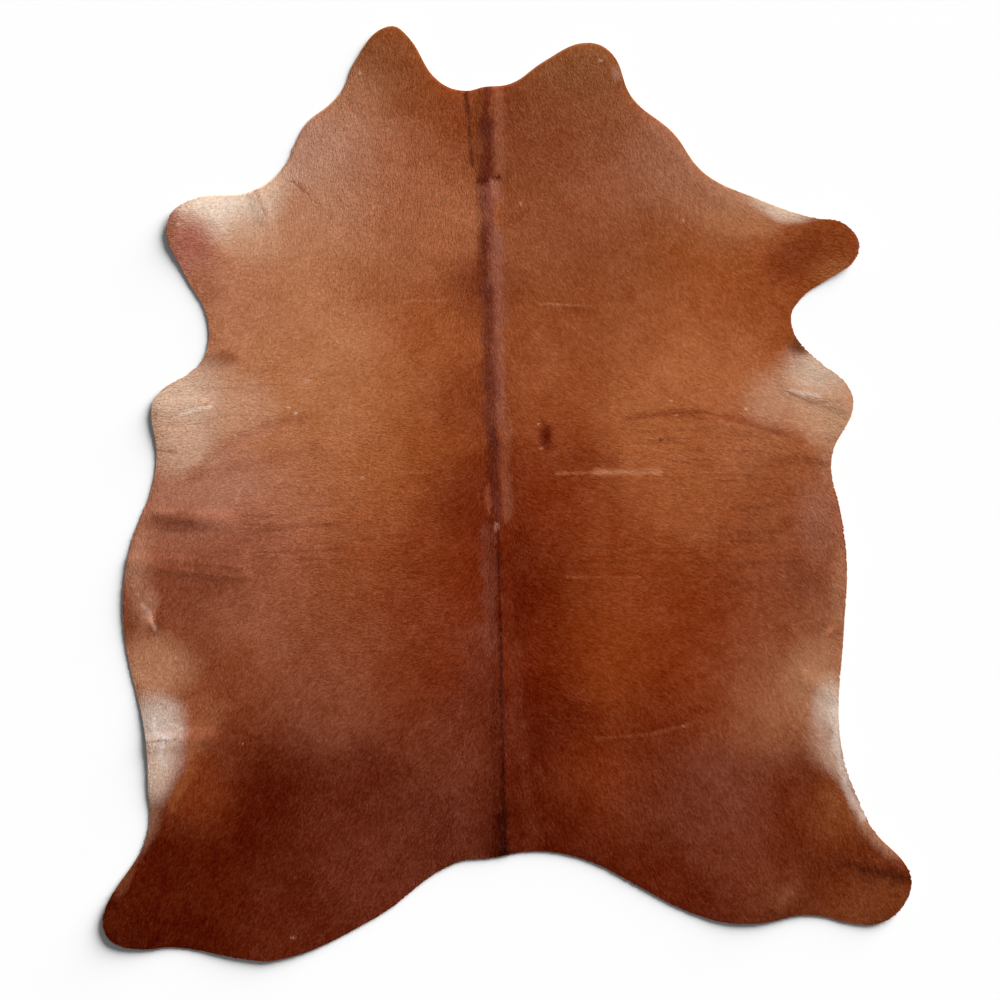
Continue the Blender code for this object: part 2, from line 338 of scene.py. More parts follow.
# %% Ground and patches of colour
Ground = namedtuple("Ground", "place across along reach colour")
GROUND = [
    Ground("left neck lobe", -0.285, 0.940, 0.095, (138, 76, 42)),
    Ground("left neck lobe, outer side", -0.380, 0.845, 0.085, (166, 108, 74)),
    Ground("left neck lobe, inner side", -0.205, 0.890, 0.065, (130, 66, 30)),
    Ground("nape", -0.145, 0.800, 0.090, (130, 60, 27)),
    Ground("left neck", -0.265, 0.700, 0.115, (158, 92, 60)),
    # painted sheen: the pale mauve of the left side of the neck
    Ground("left neck, side", -0.460, 0.735, 0.115, (180, 132, 110)),
    Ground("right neck lobe", 0.205, 0.920, 0.115, (138, 80, 46)),
    Ground("right neck, inner", 0.075, 0.775, 0.095, (128, 64, 36)),
    Ground("right neck", 0.240, 0.745, 0.115, (138, 74, 44)),
    # painted sheen: the pale mauve of the right side of the neck
    Ground("right neck, side", 0.400, 0.700, 0.105, (162, 106, 80)),
    Ground("left shoulder, upper", -0.500, 0.595, 0.115, (186, 131, 99)),
    Ground("left shoulder, inner", -0.325, 0.575, 0.125, (164, 102, 70)),
    Ground("left of the spine, shoulders", -0.165, 0.560, 0.105, (158, 90, 56)),
    Ground("left shoulder, outer", -0.650, 0.415, 0.125, (174, 114, 84)),
    Ground("left shoulder", -0.480, 0.415, 0.135, (176, 112, 74)),
    Ground("left of the spine, ribs", -0.190, 0.325, 0.115, (152, 80, 42)),
    Ground("left shoulder, dusky", -0.363, 0.455, 0.070, (150, 82, 46)),
    Ground("left ribs, upper", -0.510, 0.240, 0.150, (180, 118, 80)),
    Ground("left ribs", -0.375, 0.135, 0.135, (170, 102, 62)),
    # The next three rows are partly the coat's own darker colour and partly painted shade, on the side of
    # the spine's ridge away from the light.
    Ground("beside the spine, shoulders", -0.080, 0.445, 0.060, (118, 52, 26)),
    Ground("beside the spine, ribs", -0.090, 0.200, 0.075, (124, 54, 26)),
    Ground("beside the spine, loin", -0.100, -0.005, 0.080, (98, 26, 6)),
    Ground("right of the spine, shoulders", 0.080, 0.585, 0.115, (144, 78, 46)),
    Ground("right shoulder, upper", 0.230, 0.610, 0.060, (162, 94, 62)),
    Ground("right shoulder", 0.285, 0.520, 0.135, (134, 70, 38)),
    Ground("right shoulder, outer", 0.475, 0.530, 0.125, (156, 84, 42)),
    Ground("right shoulder, rim", 0.550, 0.635, 0.080, (178, 130, 102)),
    Ground("right foreleg, root", 0.650, 0.430, 0.115, (140, 68, 30)),
    Ground("right shoulder, lower", 0.530, 0.390, 0.070, (144, 69, 27)),
    Ground("right back", 0.230, 0.340, 0.135, (144, 74, 38)),
    Ground("right ribs, upper", 0.490, 0.305, 0.150, (168, 96, 56)),
    Ground("right ribs", 0.355, 0.165, 0.135, (164, 94, 54)),
    Ground("right ribs, outer", 0.575, 0.115, 0.125, (163, 95, 58)),
    Ground("right of the spine, ribs", 0.095, 0.220, 0.115, (148, 76, 40)),
    Ground("left ribs, low", -0.530, 0.010, 0.095, (176, 114, 83)),
    Ground("left loin, upper", -0.225, 0.080, 0.115, (144, 70, 30)),
    Ground("left loin, outer", -0.400, -0.080, 0.150, (152, 80, 42)),
    Ground("left belly, inner", -0.605, -0.090, 0.135, (156, 93, 71)),
    Ground("left loin", -0.205, -0.155, 0.115, (118, 42, 12)),
    Ground("right loin, upper", 0.135, 0.035, 0.115, (118, 44, 16)),
    Ground("right loin", 0.080, -0.205, 0.115, (94, 25, 5)),
    Ground("right loin, middle", 0.260, -0.130, 0.125, (130, 56, 22)),
    Ground("right loin, outer", 0.440, -0.025, 0.135, (152, 82, 44)),
    Ground("right belly", 0.645, -0.045, 0.115, (144, 76, 45)),
    Ground("left belly, upper", -0.790, -0.015, 0.095, (164, 106, 82)),
    Ground("left belly, lower", -0.745, -0.205, 0.120, (128, 66, 42)),
    Ground("left belly, low inside", -0.530, -0.270, 0.135, (138, 76, 50)),
    Ground("left loin, low", -0.340, -0.290, 0.135, (134, 66, 38)),
    Ground("left loin, low inside", -0.205, -0.345, 0.105, (112, 40, 16)),
    Ground("right loin, low outside", 0.465, -0.215, 0.135, (122, 48, 16)),
    Ground("right loin, dark", 0.080, -0.360, 0.070, (101, 28, 7)),
    Ground("right belly, low", 0.675, -0.250, 0.115, (134, 68, 40)),
    Ground("right belly, low rim", 0.795, -0.270, 0.065, (150, 92, 64)),
    Ground("right loin, low", 0.245, -0.335, 0.115, (130, 56, 20)),
    Ground("right rump, outer", 0.490, -0.390, 0.125, (126, 52, 22)),
    Ground("right rump, upper", 0.380, -0.470, 0.070, (107, 37, 13)),
    Ground("rump, right of the spine", 0.095, -0.495, 0.105, (87, 21, 4)),
    Ground("rump, left of the spine", -0.140, -0.525, 0.105, (106, 46, 26)),
    Ground("left rump, upper", -0.435, -0.420, 0.125, (126, 66, 44)),
    Ground("left rump, outer", -0.680, -0.450, 0.105, (124, 60, 34)),
    Ground("left rump", -0.590, -0.615, 0.125, (78, 17, 2)),
    Ground("left rump, outer low", -0.760, -0.635, 0.070, (132, 60, 30)),
    Ground("left rump, inner", -0.363, -0.610, 0.075, (86, 26, 9)),
    Ground("left thigh", -0.390, -0.760, 0.135, (100, 41, 24)),
    Ground("left thigh, low", -0.540, -0.890, 0.090, (85, 27, 11)),
    Ground("left hind leg", -0.785, -0.805, 0.150, (79, 19, 2)),
    Ground("left hind leg, foot", -0.920, -0.920, 0.105, (68, 14, 1)),
    Ground("left of the tail", -0.165, -0.695, 0.105, (94, 38, 22)),
    Ground("right of the tail", 0.130, -0.685, 0.115, (86, 24, 7)),
    Ground("right rump, inner", 0.230, -0.600, 0.090, (132, 56, 26)),
    Ground("right rump", 0.330, -0.610, 0.115, (104, 42, 22)),
    Ground("right thigh", 0.505, -0.655, 0.115, (118, 60, 42)),
    Ground("right thigh, inner", 0.370, -0.690, 0.060, (95, 35, 14)),
    Ground("right thigh, low", 0.430, -0.815, 0.105, (92, 27, 7)),
    Ground("right thigh, low outside", 0.580, -0.805, 0.105, (110, 50, 29)),
    Ground("right thigh, rim", 0.505, -0.870, 0.060, (80, 20, 6)),
    Ground("right thigh, outer", 0.700, -0.640, 0.115, (100, 35, 13)),
    Ground("right thigh, low rim", 0.680, -0.885, 0.060, (92, 38, 16)),
    Ground("right hind leg, top", 0.830, -0.670, 0.065, (146, 80, 40)),
    Ground("right hind leg", 0.850, -0.750, 0.105, (98, 35, 11)),
    Ground("right hind leg, foot", 0.925, -0.885, 0.090, (124, 62, 32)),
    Ground("right flank", 0.685, -0.440, 0.115, (160, 100, 68)),
]

Tone = namedtuple("Tone", "place across along wide long turn colour strength")
TONES = [
    Tone("left foreleg, cream", -0.704, 0.613, 0.168, 0.105, 0, (222, 198, 178), 1.0),
    Tone("left foreleg, cream low", -0.635, 0.545, 0.100, 0.078, -30, (200, 152, 120), 0.6),
    Tone("left foreleg, rose", -0.785, 0.530, 0.093, 0.100, 24, (166, 101, 82), 1.0),
    Tone("left foreleg, rose low", -0.742, 0.447, 0.052, 0.072, 20, (154, 90, 64), 0.6),
    Tone("left foreleg, corner", -0.838, 0.581, 0.034, 0.048, 0, (148, 90, 68), 0.8),
    Tone("left shoulder, rim", -0.581, 0.660, 0.105, 0.059, 35, (204, 166, 140), 0.7),
    Tone("left neck, corner", -0.512, 0.690, 0.068, 0.078, -30, (184, 136, 112), 0.6),
    Tone("left armpit, above", -0.724, 0.344, 0.032, 0.059, 0, (160, 96, 62), 0.5),
    Tone("left armpit", -0.718, 0.285, 0.062, 0.026, 0, (122, 56, 20), 0.8),
    Tone("left elbow", -0.803, 0.208, 0.150, 0.132, 0, (196, 162, 138), 1.0),
    Tone("left elbow, low", -0.803, 0.101, 0.128, 0.096, 0, (192, 152, 126), 0.85),
    Tone("left elbow, inner", -0.660, 0.182, 0.119, 0.114, 0, (190, 142, 114), 0.6),
    Tone("left belly, rosy", -0.694, 0.024, 0.150, 0.091, 10, (177, 123, 99), 0.6),
    # painted shade along the fold across the left belly
    Tone("left belly, painted shade in the fold", -0.813, -0.061, 0.105, 0.030, 0, (112, 56, 36), 0.6),
    Tone("left belly, pale rim", -0.912, -0.160, 0.046, 0.140, 0, (170, 118, 92), 0.7),
    Tone("left belly, brown", -0.774, -0.190, 0.123, 0.096, 0, (122, 62, 40), 0.65),
    Tone("left whorl, dark side", -0.922, -0.279, 0.032, 0.041, 0, (118, 66, 38), 0.65),
    Tone("left whorl, pale side", -0.882, -0.245, 0.027, 0.068, -10, (180, 130, 106), 0.5),
    Tone("left flank, tan", -0.872, -0.373, 0.123, 0.109, 0, (172, 118, 88), 1.0),
    Tone("left flank, outer fade", -0.779, -0.473, 0.100, 0.114, 0, (146, 84, 56), 0.8),
    Tone("left flank, white", -0.868, -0.492, 0.082, 0.096, 0, (188, 166, 152), 1.0),
    Tone("left flank, white tail", -0.866, -0.586, 0.070, 0.112, -22, (196, 166, 148), 1.0),
    Tone("left thigh, pale rim", -0.907, -0.718, 0.050, 0.091, -20, (150, 104, 80), 0.9),
    Tone("left hind leg, pale rim", -0.947, -0.795, 0.032, 0.078, -20, (120, 66, 42), 0.8),
    Tone("right shoulder, cream rim", 0.680, 0.610, 0.114, 0.036, -14, (208, 178, 156), 1.0),
    Tone("right shoulder, below the rim", 0.576, 0.579, 0.114, 0.050, -14, (176, 114, 74), 0.6),
    Tone("right foreleg", 0.794, 0.528, 0.105, 0.059, 0, (128, 58, 24), 0.9),
    Tone("right foreleg, root", 0.700, 0.494, 0.082, 0.064, 30, (118, 50, 22), 0.8),
    Tone("right foreleg, lower rim", 0.799, 0.470, 0.068, 0.032, 30, (160, 94, 54), 0.7),
    Tone("right elbow", 0.769, 0.255, 0.118, 0.105, 0, (198, 168, 146), 1.0),
    Tone("right elbow, low", 0.799, 0.160, 0.105, 0.100, 0, (198, 152, 120), 0.9),
    Tone("right elbow, inner", 0.665, 0.199, 0.105, 0.096, 0, (190, 142, 112), 0.7),
    Tone("right armpit", 0.722, 0.314, 0.042, 0.029, -20, (98, 46, 26), 0.85),
    Tone("right ribs, dark by the small scar", 0.215, 0.073, 0.075, 0.028, 0, (124, 56, 26), 0.45),
    Tone("right waist, rim", 0.803, 0.075, 0.050, 0.068, 0, (174, 124, 96), 0.7),
    Tone("right belly, outer", 0.774, -0.057, 0.078, 0.137, 0, (152, 96, 74), 0.7),
    Tone("right belly, dusky", 0.714, -0.176, 0.082, 0.068, -20, (124, 64, 42), 0.6),
    Tone("right belly, rim", 0.828, -0.206, 0.032, 0.182, 0, (164, 108, 78), 0.8),
    Tone("right flank, tan", 0.769, -0.398, 0.100, 0.128, 0, (170, 116, 84), 0.9),
    Tone("right flank, white", 0.808, -0.479, 0.068, 0.123, 0, (200, 174, 156), 1.0),
    Tone("right flank, low fade", 0.788, -0.538, 0.062, 0.090, 20, (170, 118, 92), 0.65),
    Tone("right flank, white rim", 0.822, -0.563, 0.048, 0.090, 22, (188, 152, 130), 0.85),
    Tone("right thigh, scarred", 0.685, -0.855, 0.052, 0.038, 30, (126, 68, 44), 0.5),
    Tone("right leg, outer rim", 0.912, -0.718, 0.041, 0.105, 42, (172, 124, 98), 0.8),
]
FAINTEST = 1e-9  # weight that keeps a mean from a division by 0
FULLNESS = 1.4  # power that keeps a patch nearly full over its inner third
DRIFT = 0.008  # metres that the patches wander
DRIFT_CELL = 0.08  # metres between turns of the wandering
FINE_DRIFT_CELL = DRIFT_CELL / 3
DRIFT_SEEDS, FINE_DRIFT_SEEDS = (11, 12), (13, 14)  # across and along


def linear(colour):
    """Screen colour from 0 to 255 as light: the power 2.4 of its share, with a straight toe."""
    share = np.array(colour) / 255
    return np.where(share > 0.04045, ((share + 0.055) / 1.055) ** 2.4, share / 12.92)


def ground_colours(points):
    """The mean of all rows' colours, each weighted by exp(-(distance / reach)^2)."""
    total = np.zeros((len(points), 3))
    weights = np.full(len(points), FAINTEST)
    for row in GROUND:
        off = np.linalg.norm(points - np.array([row.across, row.along]) * HALF, axis=1)
        near = np.exp(-((off / row.reach) ** 2))
        total += near[:, None] * linear(row.colour)
        weights += near
    return total / weights[:, None]


def patch(points, row):
    """swell() of the distance from the patch's middle, measured in its turned half sizes and raised
    to the power FULLNESS."""
    turn = np.radians(row.turn)
    axes = np.array([[np.cos(turn), -np.sin(turn)], [np.sin(turn), np.cos(turn)]])
    off = (points - np.array([row.across, row.along]) * HALF) @ axes
    return swell(np.linalg.norm(off / (row.wide, row.long), axis=1) ** FULLNESS)


def mixed(colour, share, other):
    """The colour moved by this share of the way towards the other one."""
    return colour + share[:, None] * (linear(other) - colour)


def patch_colours(points):
    """The ground colour, with each patch mixed over it by its strength and nearness."""
    wander = np.column_stack([soft_noise(points, DRIFT_CELL, seed) for seed in DRIFT_SEEDS])
    fine = np.column_stack([soft_noise(points, FINE_DRIFT_CELL, seed) for seed in FINE_DRIFT_SEEDS])
    wander += fine / 2
    places = points + DRIFT * wander
    colour = ground_colours(places)
    for tone in TONES:
        colour = mixed(colour, tone.strength * patch(places, tone), tone.colour)
    return colour


print(len(GROUND), "places of the ground and", len(TONES), "patches over it")

# %% [markdown]
# ## Lines, scars and specks
#
# On top of the patches lie thin things: the dark line down the spine, with painted shade on the side
# of its ridge away from the light and painted sheen on the side towards it, creases drawn darker as
# painted shade, scratches where the hair has grown back white, two healed scars, and specks. The
# lines are paths with a half width, and the scars and specks are small patches that don't drift. Fine
# wrinkles across the ribs are painted shade in streaky noise, let through only where a patch of its
# own allows it.

# %% Lines and marks
Line = namedtuple("Line", "place path half_width colour strength")
LINES = [
    # The next two rows are painted shade in the crease left of the neck ridge.
    Line("nape, thin line", [(-0.104, 0.866), (-0.096, 0.814)], 0.0085, (80, 32, 14), 0.9),
    Line("nape, thin line fading", [(-0.096, 0.822), (-0.086, 0.700)], 0.0085, (94, 43, 23), 0.85),
    # painted sheen on the side of the spine's ridge that faces the light
    Line("neck, painted sheen", [(-0.022, 0.857), (-0.022, 0.626)], 0.025, (154, 92, 66), 0.65),
    # The next two rows: the hair's parting, darkened by painted shade on the side of the spine's ridge away
    # from the light.
    Line("nape, parting with painted shade", [(-0.052, 0.866), (-0.050, 0.775)], 0.018, (94, 40, 24), 0.8),
    Line("neck, parting with painted shade", [(-0.048, 0.790), (-0.046, 0.680)], 0.024, (86, 33, 21), 0.85),
    # the parting, its purple a painted sheen
    Line("shoulders, parting with painted sheen", [(-0.049, 0.660), (-0.047, 0.541)], 0.026, (122, 64, 52), 0.8),
    # The next two rows: the parting and painted shade left of it, on the side of the ridge away from the
    # light.
    Line("shoulders, parting with painted shade", [(-0.054, 0.562), (-0.047, 0.413)], 0.018, (104, 46, 30), 0.75),
    Line("shoulders, painted shade left of the parting",
         [(-0.054, 0.568), (-0.070, 0.430)],
         0.024, (108, 46, 26), 0.6),
    # painted sheen on the side of the spine's ridge that faces the light
    Line("shoulders, painted sheen", [(-0.025, 0.560), (-0.016, 0.157)], 0.024, (144, 88, 72), 0.65),
    # the parting, darkened by painted shade on the side of the ridge away from the light
    Line("ribs, parting with painted shade", [(-0.047, 0.434), (-0.037, 0.114)], 0.024, (104, 48, 36), 0.8),
    # painted sheen on the side of the spine's ridge that faces the light
    Line("ribs, painted sheen", [(-0.010, 0.157), (-0.002, -0.046)], 0.022, (140, 78, 54), 0.65),
    # the parting, darkened by painted shade on the side of the ridge away from the light
    Line("loin, parting with painted shade", [(-0.034, 0.135), (-0.025, -0.053)], 0.018, (92, 38, 26), 0.8),
    Line("loin, light strip", [(-0.047, 0.016), (-0.044, -0.040)], 0.009, (150, 74, 46), 0.8),
    Line("loin, light end of the parting",
         [(-0.025, -0.063), (-0.025, -0.074)],
         0.009, (170, 120, 96), 0.8),
    Line("loin, grey left of the line", [(-0.042, -0.078), (-0.042, -0.313)], 0.030, (124, 62, 44), 0.65),
    Line("rump, grey left of the line", [(-0.072, -0.313), (-0.111, -0.612)], 0.059, (112, 52, 34), 0.5),
    # painted highlight on the side of the spine's ridge that faces the light
    Line("rump, painted highlight right of the line",
         [(-0.002, -0.228), (0.027, -0.484), (0.062, -0.761)],
         0.030, (114, 50, 28), 0.4),
    Line("spine, thin line behind",
         [(-0.022, -0.074), (-0.015, -0.377), (-0.010, -0.590)],
         0.006, (66, 20, 12), 0.9),
    Line("tail root, maroon", [(-0.024, -0.700), (-0.027, -0.800)], 0.050, (66, 12, 3), 0.7),
    Line("tail root, wedge", [(-0.010, -0.560), (-0.009, -0.680)], 0.009, (54, 12, 5), 0.8),
    Line("tail root, wider", [(-0.009, -0.685), (-0.008, -0.780)], 0.018, (48, 9, 4), 0.8),
    Line("tail root, widest", [(-0.008, -0.740), (-0.007, -0.790)], 0.027, (42, 6, 2), 0.75),
    # The next two rows are painted shade in the crease across the spine at the neck.
    Line("neck, left of the crossing", [(-0.069, 0.666), (-0.053, 0.667)], 0.009, (84, 28, 14), 0.95),
    Line("neck, right of the crossing", [(-0.029, 0.671), (-0.019, 0.677)], 0.0065, (94, 34, 18), 0.95),
    Line("neck, pale hairs below the crossing",
         [(-0.034, 0.662), (-0.030, 0.640)],
         0.012, (172, 112, 94), 0.5),
    # The next two rows are painted shade in the creases of the same names.
    Line("left foreleg, above", [(-0.622, 0.648), (-0.592, 0.592)], 0.0045, (146, 96, 66), 0.7),
    Line("left foreleg, short", [(-0.529, 0.669), (-0.489, 0.639)], 0.004, (128, 62, 44), 0.7),
    Line("left shoulder, long faint line",
         [(-0.489, 0.639), (-0.398, 0.558)],
         0.0035, (150, 88, 62), 0.4),
    # painted shade in the crease of the same name
    Line("left neck, slanting", [(-0.400, 0.840), (-0.358, 0.797)], 0.004, (140, 84, 62), 0.5),
    Line("right neck, slanting", [(0.275, 0.608), (0.383, 0.650)], 0.006, (176, 116, 86), 0.4),
    # painted shade in the crease of the same name
    Line("left elbow, line",
         [(-0.838, 0.145), (-0.760, 0.150), (-0.690, 0.164)],
         0.004, (150, 98, 70), 0.45),
    Line("left elbow, scar", [(-0.803, 0.170), (-0.727, 0.187)], 0.005, (222, 200, 180), 0.7),
    # The next two rows are painted shade in the creases of the same names.
    Line("left waist", [(-0.864, 0.093), (-0.810, 0.088)], 0.004, (120, 74, 50), 0.6),
    Line("left armpit, sweep",
         [(-0.510, 0.157), (-0.598, 0.140), (-0.697, 0.103), (-0.741, 0.067), (-0.783, 0.028)],
         0.022, (150, 84, 60), 0.4),
    Line("left ribs, second sweep",
         [(-0.465, 0.101), (-0.571, 0.075), (-0.660, 0.054), (-0.769, 0.041)],
         0.020, (148, 82, 56), 0.35),
    # The next two rows are painted shade in the creases of the same names.
    Line("left belly, upper", [(-0.877, -0.053), (-0.783, -0.068)], 0.008, (112, 58, 40), 0.5),
    Line("left belly, lower",
         [(-0.857, -0.150), (-0.760, -0.168), (-0.660, -0.166)],
         0.009, (122, 64, 44), 0.45),
    Line("left flank, amber fringe",
         [(-0.776, -0.535), (-0.787, -0.600), (-0.828, -0.665)],
         0.022, (150, 86, 48), 0.5),
    # painted shade in the crease of the same name
    Line("left flank, slit",
         [(-0.892, -0.529), (-0.855, -0.525), (-0.813, -0.520)],
         0.0035, (104, 78, 64), 0.8),
    Line("left whorl, slit", [(-0.863, -0.253), (-0.867, -0.298)], 0.003, (96, 44, 28), 0.7),
    Line("left flank, scar, upright", [(-0.868, -0.478), (-0.870, -0.505)], 0.008, (210, 200, 198), 0.5),
    Line("left flank, scar, lower", [(-0.858, -0.512), (-0.830, -0.520)], 0.009, (210, 198, 194), 0.5),
    Line("left flank, scar, side",
         [(-0.835, -0.488), (-0.812, -0.494), (-0.800, -0.500)],
         0.005, (206, 188, 180), 0.45),
    Line("left flank, scar, tail",
         [(-0.850, -0.531), (-0.855, -0.560), (-0.842, -0.580)],
         0.009, (208, 196, 192), 0.45),
    Line("left flank, wrinkle, upper", [(-0.915, -0.410), (-0.850, -0.422)], 0.003, (124, 84, 64), 0.6),
    Line("left flank, wrinkle, lower", [(-0.897, -0.440), (-0.835, -0.452)], 0.003, (150, 112, 92), 0.6),
    Line("left whorl, white streak",
         [(-0.900, -0.232), (-0.882, -0.260), (-0.870, -0.290)],
         0.007, (206, 166, 146), 0.5),
    Line("left whorl, nick", [(-0.878, -0.288), (-0.870, -0.300)], 0.004, (110, 62, 46), 0.8),
    Line("right elbow, white streak",
         [(0.695, 0.221), (0.730, 0.213), (0.765, 0.211)],
         0.007, (220, 198, 186), 0.45),
    # painted shade in the crease of the same name
    Line("right elbow, arc",
         [(0.292, 0.161), (0.400, 0.172), (0.477, 0.174), (0.576, 0.157), (0.687, 0.125)],
         0.012, (126, 58, 30), 0.65),
    # painted shade beside the fold of the right elbow, on its side away from the light
    Line("right elbow, fold under the streak",
         [(0.700, 0.213), (0.747, 0.195), (0.820, 0.199)],
         0.006, (144, 88, 66), 0.4),
    # painted shade in the crease of the right elbow's arc, broader at its end
    Line("right ribs, broad end of the arc",
         [(0.576, 0.160), (0.672, 0.143), (0.724, 0.112)],
         0.018, (140, 76, 46), 0.45),
    # painted shade in the crease of the same name
    Line("right waist", [(0.564, 0.088), (0.690, 0.070), (0.804, 0.060)], 0.015, (138, 74, 46), 0.5),
    Line("right ribs, short line", [(0.398, 0.113), (0.437, 0.107)], 0.006, (126, 56, 28), 0.5),
    Line("right ribs, long thin line",
         [(0.339, 0.080), (0.400, 0.073), (0.480, 0.058)],
         0.004, (126, 58, 34), 0.5),
    Line("scratch, left ribs", [(-0.281, 0.046), (-0.185, 0.045)], 0.004, (180, 112, 76), 0.3),
    Line("scratch, right ribs", [(0.122, 0.043), (0.260, 0.045)], 0.007, (180, 112, 74), 0.4),
    Line("scratch, right ribs, broad end", [(0.220, 0.045), (0.378, 0.047)], 0.012, (200, 134, 98), 0.45),
    Line("scratch, right loin", [(0.144, -0.178), (0.329, -0.178)], 0.004, (160, 88, 50), 0.35),
    Line("scratch, left of the neck", [(-0.252, 0.412), (-0.148, 0.414)], 0.004, (186, 126, 96), 0.35),
    Line("scratch, right of the neck", [(0.082, 0.406), (0.205, 0.402)], 0.004, (184, 124, 92), 0.35),
    Line("scratch, right rump",
         [(0.218, -0.522), (0.350, -0.512), (0.477, -0.484)],
         0.005, (146, 80, 52), 0.4),
    Line("right leg, dark band",
         [(0.740, -0.788), (0.860, -0.798), (0.991, -0.818)],
         0.040, (84, 29, 10), 0.5),
    # painted shade in the fold of the right hind leg
    Line("right leg, painted shade in the fold",
         [(0.880, -0.800), (0.930, -0.811), (0.991, -0.821)],
         0.026, (72, 22, 7), 0.6),
    Line("right flank, white rim",
         [(0.808, -0.460), (0.812, -0.540), (0.842, -0.632), (0.880, -0.690)],
         0.017, (220, 204, 194), 0.5),
]
MARKS = [
    Tone("oval scar", 0.094, 0.122, 0.021, 0.043, 0, (92, 25, 9), 1.0),
    Tone("oval scar, speck above", 0.075, 0.148, 0.004, 0.003, 0, (190, 140, 112), 0.7),
    Tone("oval scar, speck below", 0.082, 0.097, 0.004, 0.003, 0, (186, 134, 106), 0.7),
    Tone("small scar", 0.163, 0.078, 0.014, 0.012, 0, (108, 40, 20), 0.7),
    Tone("left elbow, bare spot", -0.739, 0.191, 0.005, 0.005, 0, (150, 76, 60), 0.8),
    Tone("left ribs, nick", -0.492, 0.242, 0.009, 0.005, 20, (210, 160, 136), 0.7),
    Tone("left ribs, speck, upper", -0.536, 0.183, 0.007, 0.004, -30, (214, 178, 158), 0.8),
    Tone("left ribs, speck, lower", -0.519, 0.172, 0.006, 0.004, 0, (214, 178, 158), 0.8),
    Tone("left ribs, speck, inner", -0.353, 0.033, 0.005, 0.005, 0, (206, 160, 130), 0.7),
    Tone("right ribs, speck, upper", 0.403, 0.199, 0.006, 0.004, 0, (206, 160, 130), 0.7),
    Tone("right ribs, speck, inner", 0.415, 0.167, 0.005, 0.004, 0, (206, 160, 130), 0.7),
    Tone("right ribs, speck, outer", 0.588, 0.182, 0.005, 0.005, 0, (214, 170, 142), 0.7),
    Tone("right ribs, dark speck", 0.378, 0.114, 0.005, 0.007, 0, (92, 36, 18), 0.8),
    Tone("left neck lobe, speck", -0.363, 0.899, 0.008, 0.004, 20, (206, 160, 136), 0.8),
    Tone("left neck, speck", -0.329, 0.613, 0.005, 0.005, 0, (200, 150, 126), 0.7),
    Tone("left foreleg, speck", -0.808, 0.575, 0.006, 0.004, 0, (214, 176, 150), 0.8),
    Tone("left rump, speck", -0.654, -0.531, 0.006, 0.003, 0, (188, 140, 120), 0.8),
    Tone("left leg, speck", -0.527, -0.945, 0.008, 0.005, 0, (170, 120, 100), 0.7),
    Tone("right neck lobe, scuff", 0.272, 0.897, 0.017, 0.026, 10, (176, 128, 108), 0.5),
    Tone("right shoulder, speck", 0.433, 0.585, 0.006, 0.004, 0, (206, 164, 140), 0.7),
    Tone("right neck lobe, speck", 0.230, 0.925, 0.008, 0.004, 10, (196, 150, 126), 0.6),
    Tone("right back, speck", 0.032, 0.620, 0.005, 0.006, 0, (190, 136, 112), 0.6),
    Tone("right rump, speck", 0.435, -0.494, 0.006, 0.004, 0, (176, 120, 96), 0.7),
]
# painted shade in fine wrinkles, for the places where each patch lets it show
WRINKLE_SHADE_AREAS = [
    Tone("right ribs", 0.510, 0.080, 0.340, 0.150, 0, (122, 58, 32), 0.45),
    Tone("left ribs", -0.540, -0.100, 0.260, 0.170, 0, (108, 52, 34), 0.45),
    Tone("left shoulder", -0.560, 0.230, 0.220, 0.120, 0, (120, 62, 38), 0.3),
    Tone("right belly", 0.620, -0.120, 0.220, 0.150, 0, (100, 46, 28), 0.4),
    Tone("loins", 0.050, -0.150, 0.500, 0.160, 0, (90, 30, 12), 0.25),
]
RAGGED = 0.5  # share of its half width by which a line is wider or narrower in places
RAGGED_CELL = 0.02  # metres between such places
WRINKLE_CELL = np.array([0.110, 0.007])  # metres across and along, for streaks across the hide
WRINKLE_START = 0.25  # value of the noise from which on a wrinkle shows
RAGGED_SEED, WRINKLE_SEED, FINE_WRINKLE_SEED = 21, 22, 23
GAMMA = 2.2  # power that turns a screen's share into light, near enough

Mottle = namedtuple("Mottle", "cell seed amount")
MOTTLES = [Mottle(0.090, 31, 0.016), Mottle(0.035, 32, 0.015), Mottle(0.012, 33, 0.013)]


def lined_colours(points, colour):
    """Each line and mark mixed over the patches by how near it is, the lines a little ragged."""
    ragged = 1 + RAGGED * soft_noise(points, RAGGED_CELL, RAGGED_SEED)
    for line in LINES:
        near = swell(off_path(points, line.path) / (line.half_width * ragged))
        colour = mixed(colour, line.strength * near, line.colour)
    for mark in MARKS:
        colour = mixed(colour, mark.strength * patch(points, mark), mark.colour)
    return colour


def with_painted_wrinkle_shade(points, colour):
    """Painted shade of wrinkles where the streaky noise is high, by the strength of the patch that lets it
    show.
    """
    coarse = soft_noise(points, WRINKLE_CELL, WRINKLE_SEED)
    fine = soft_noise(points, WRINKLE_CELL / 2, FINE_WRINKLE_SEED)
    streak = np.clip(coarse + fine - WRINKLE_START, 0, 1)
    for area in WRINKLE_SHADE_AREAS:
        colour = mixed(colour, area.strength * streak * patch(points, area), area.colour)
    return colour


def faded(colour, amount):
    """The colour with the same amount added to its red, green and blue on the screen: pale hair is
    greyer and dark hair redder than the mean."""
    return np.clip(colour ** (1 / GAMMA) + amount[:, None], 0, 1) ** GAMMA


def mottling(points):
    """Noise in large, middle and small blotches, as an amount on the screen."""
    return sum(mottle.amount * soft_noise(points, mottle.cell, mottle.seed) for mottle in MOTTLES)


def coat_colours(points):
    """Ground, patches, lines and painted wrinkle shade in turn, then the mottling added to them."""
    colour = with_painted_wrinkle_shade(points, lined_colours(points, patch_colours(points)))
    return faded(colour, mottling(points))


print(len(LINES), "lines,", len(MARKS), "marks, painted wrinkle shade in", len(WRINKLE_SHADE_AREAS), "places")

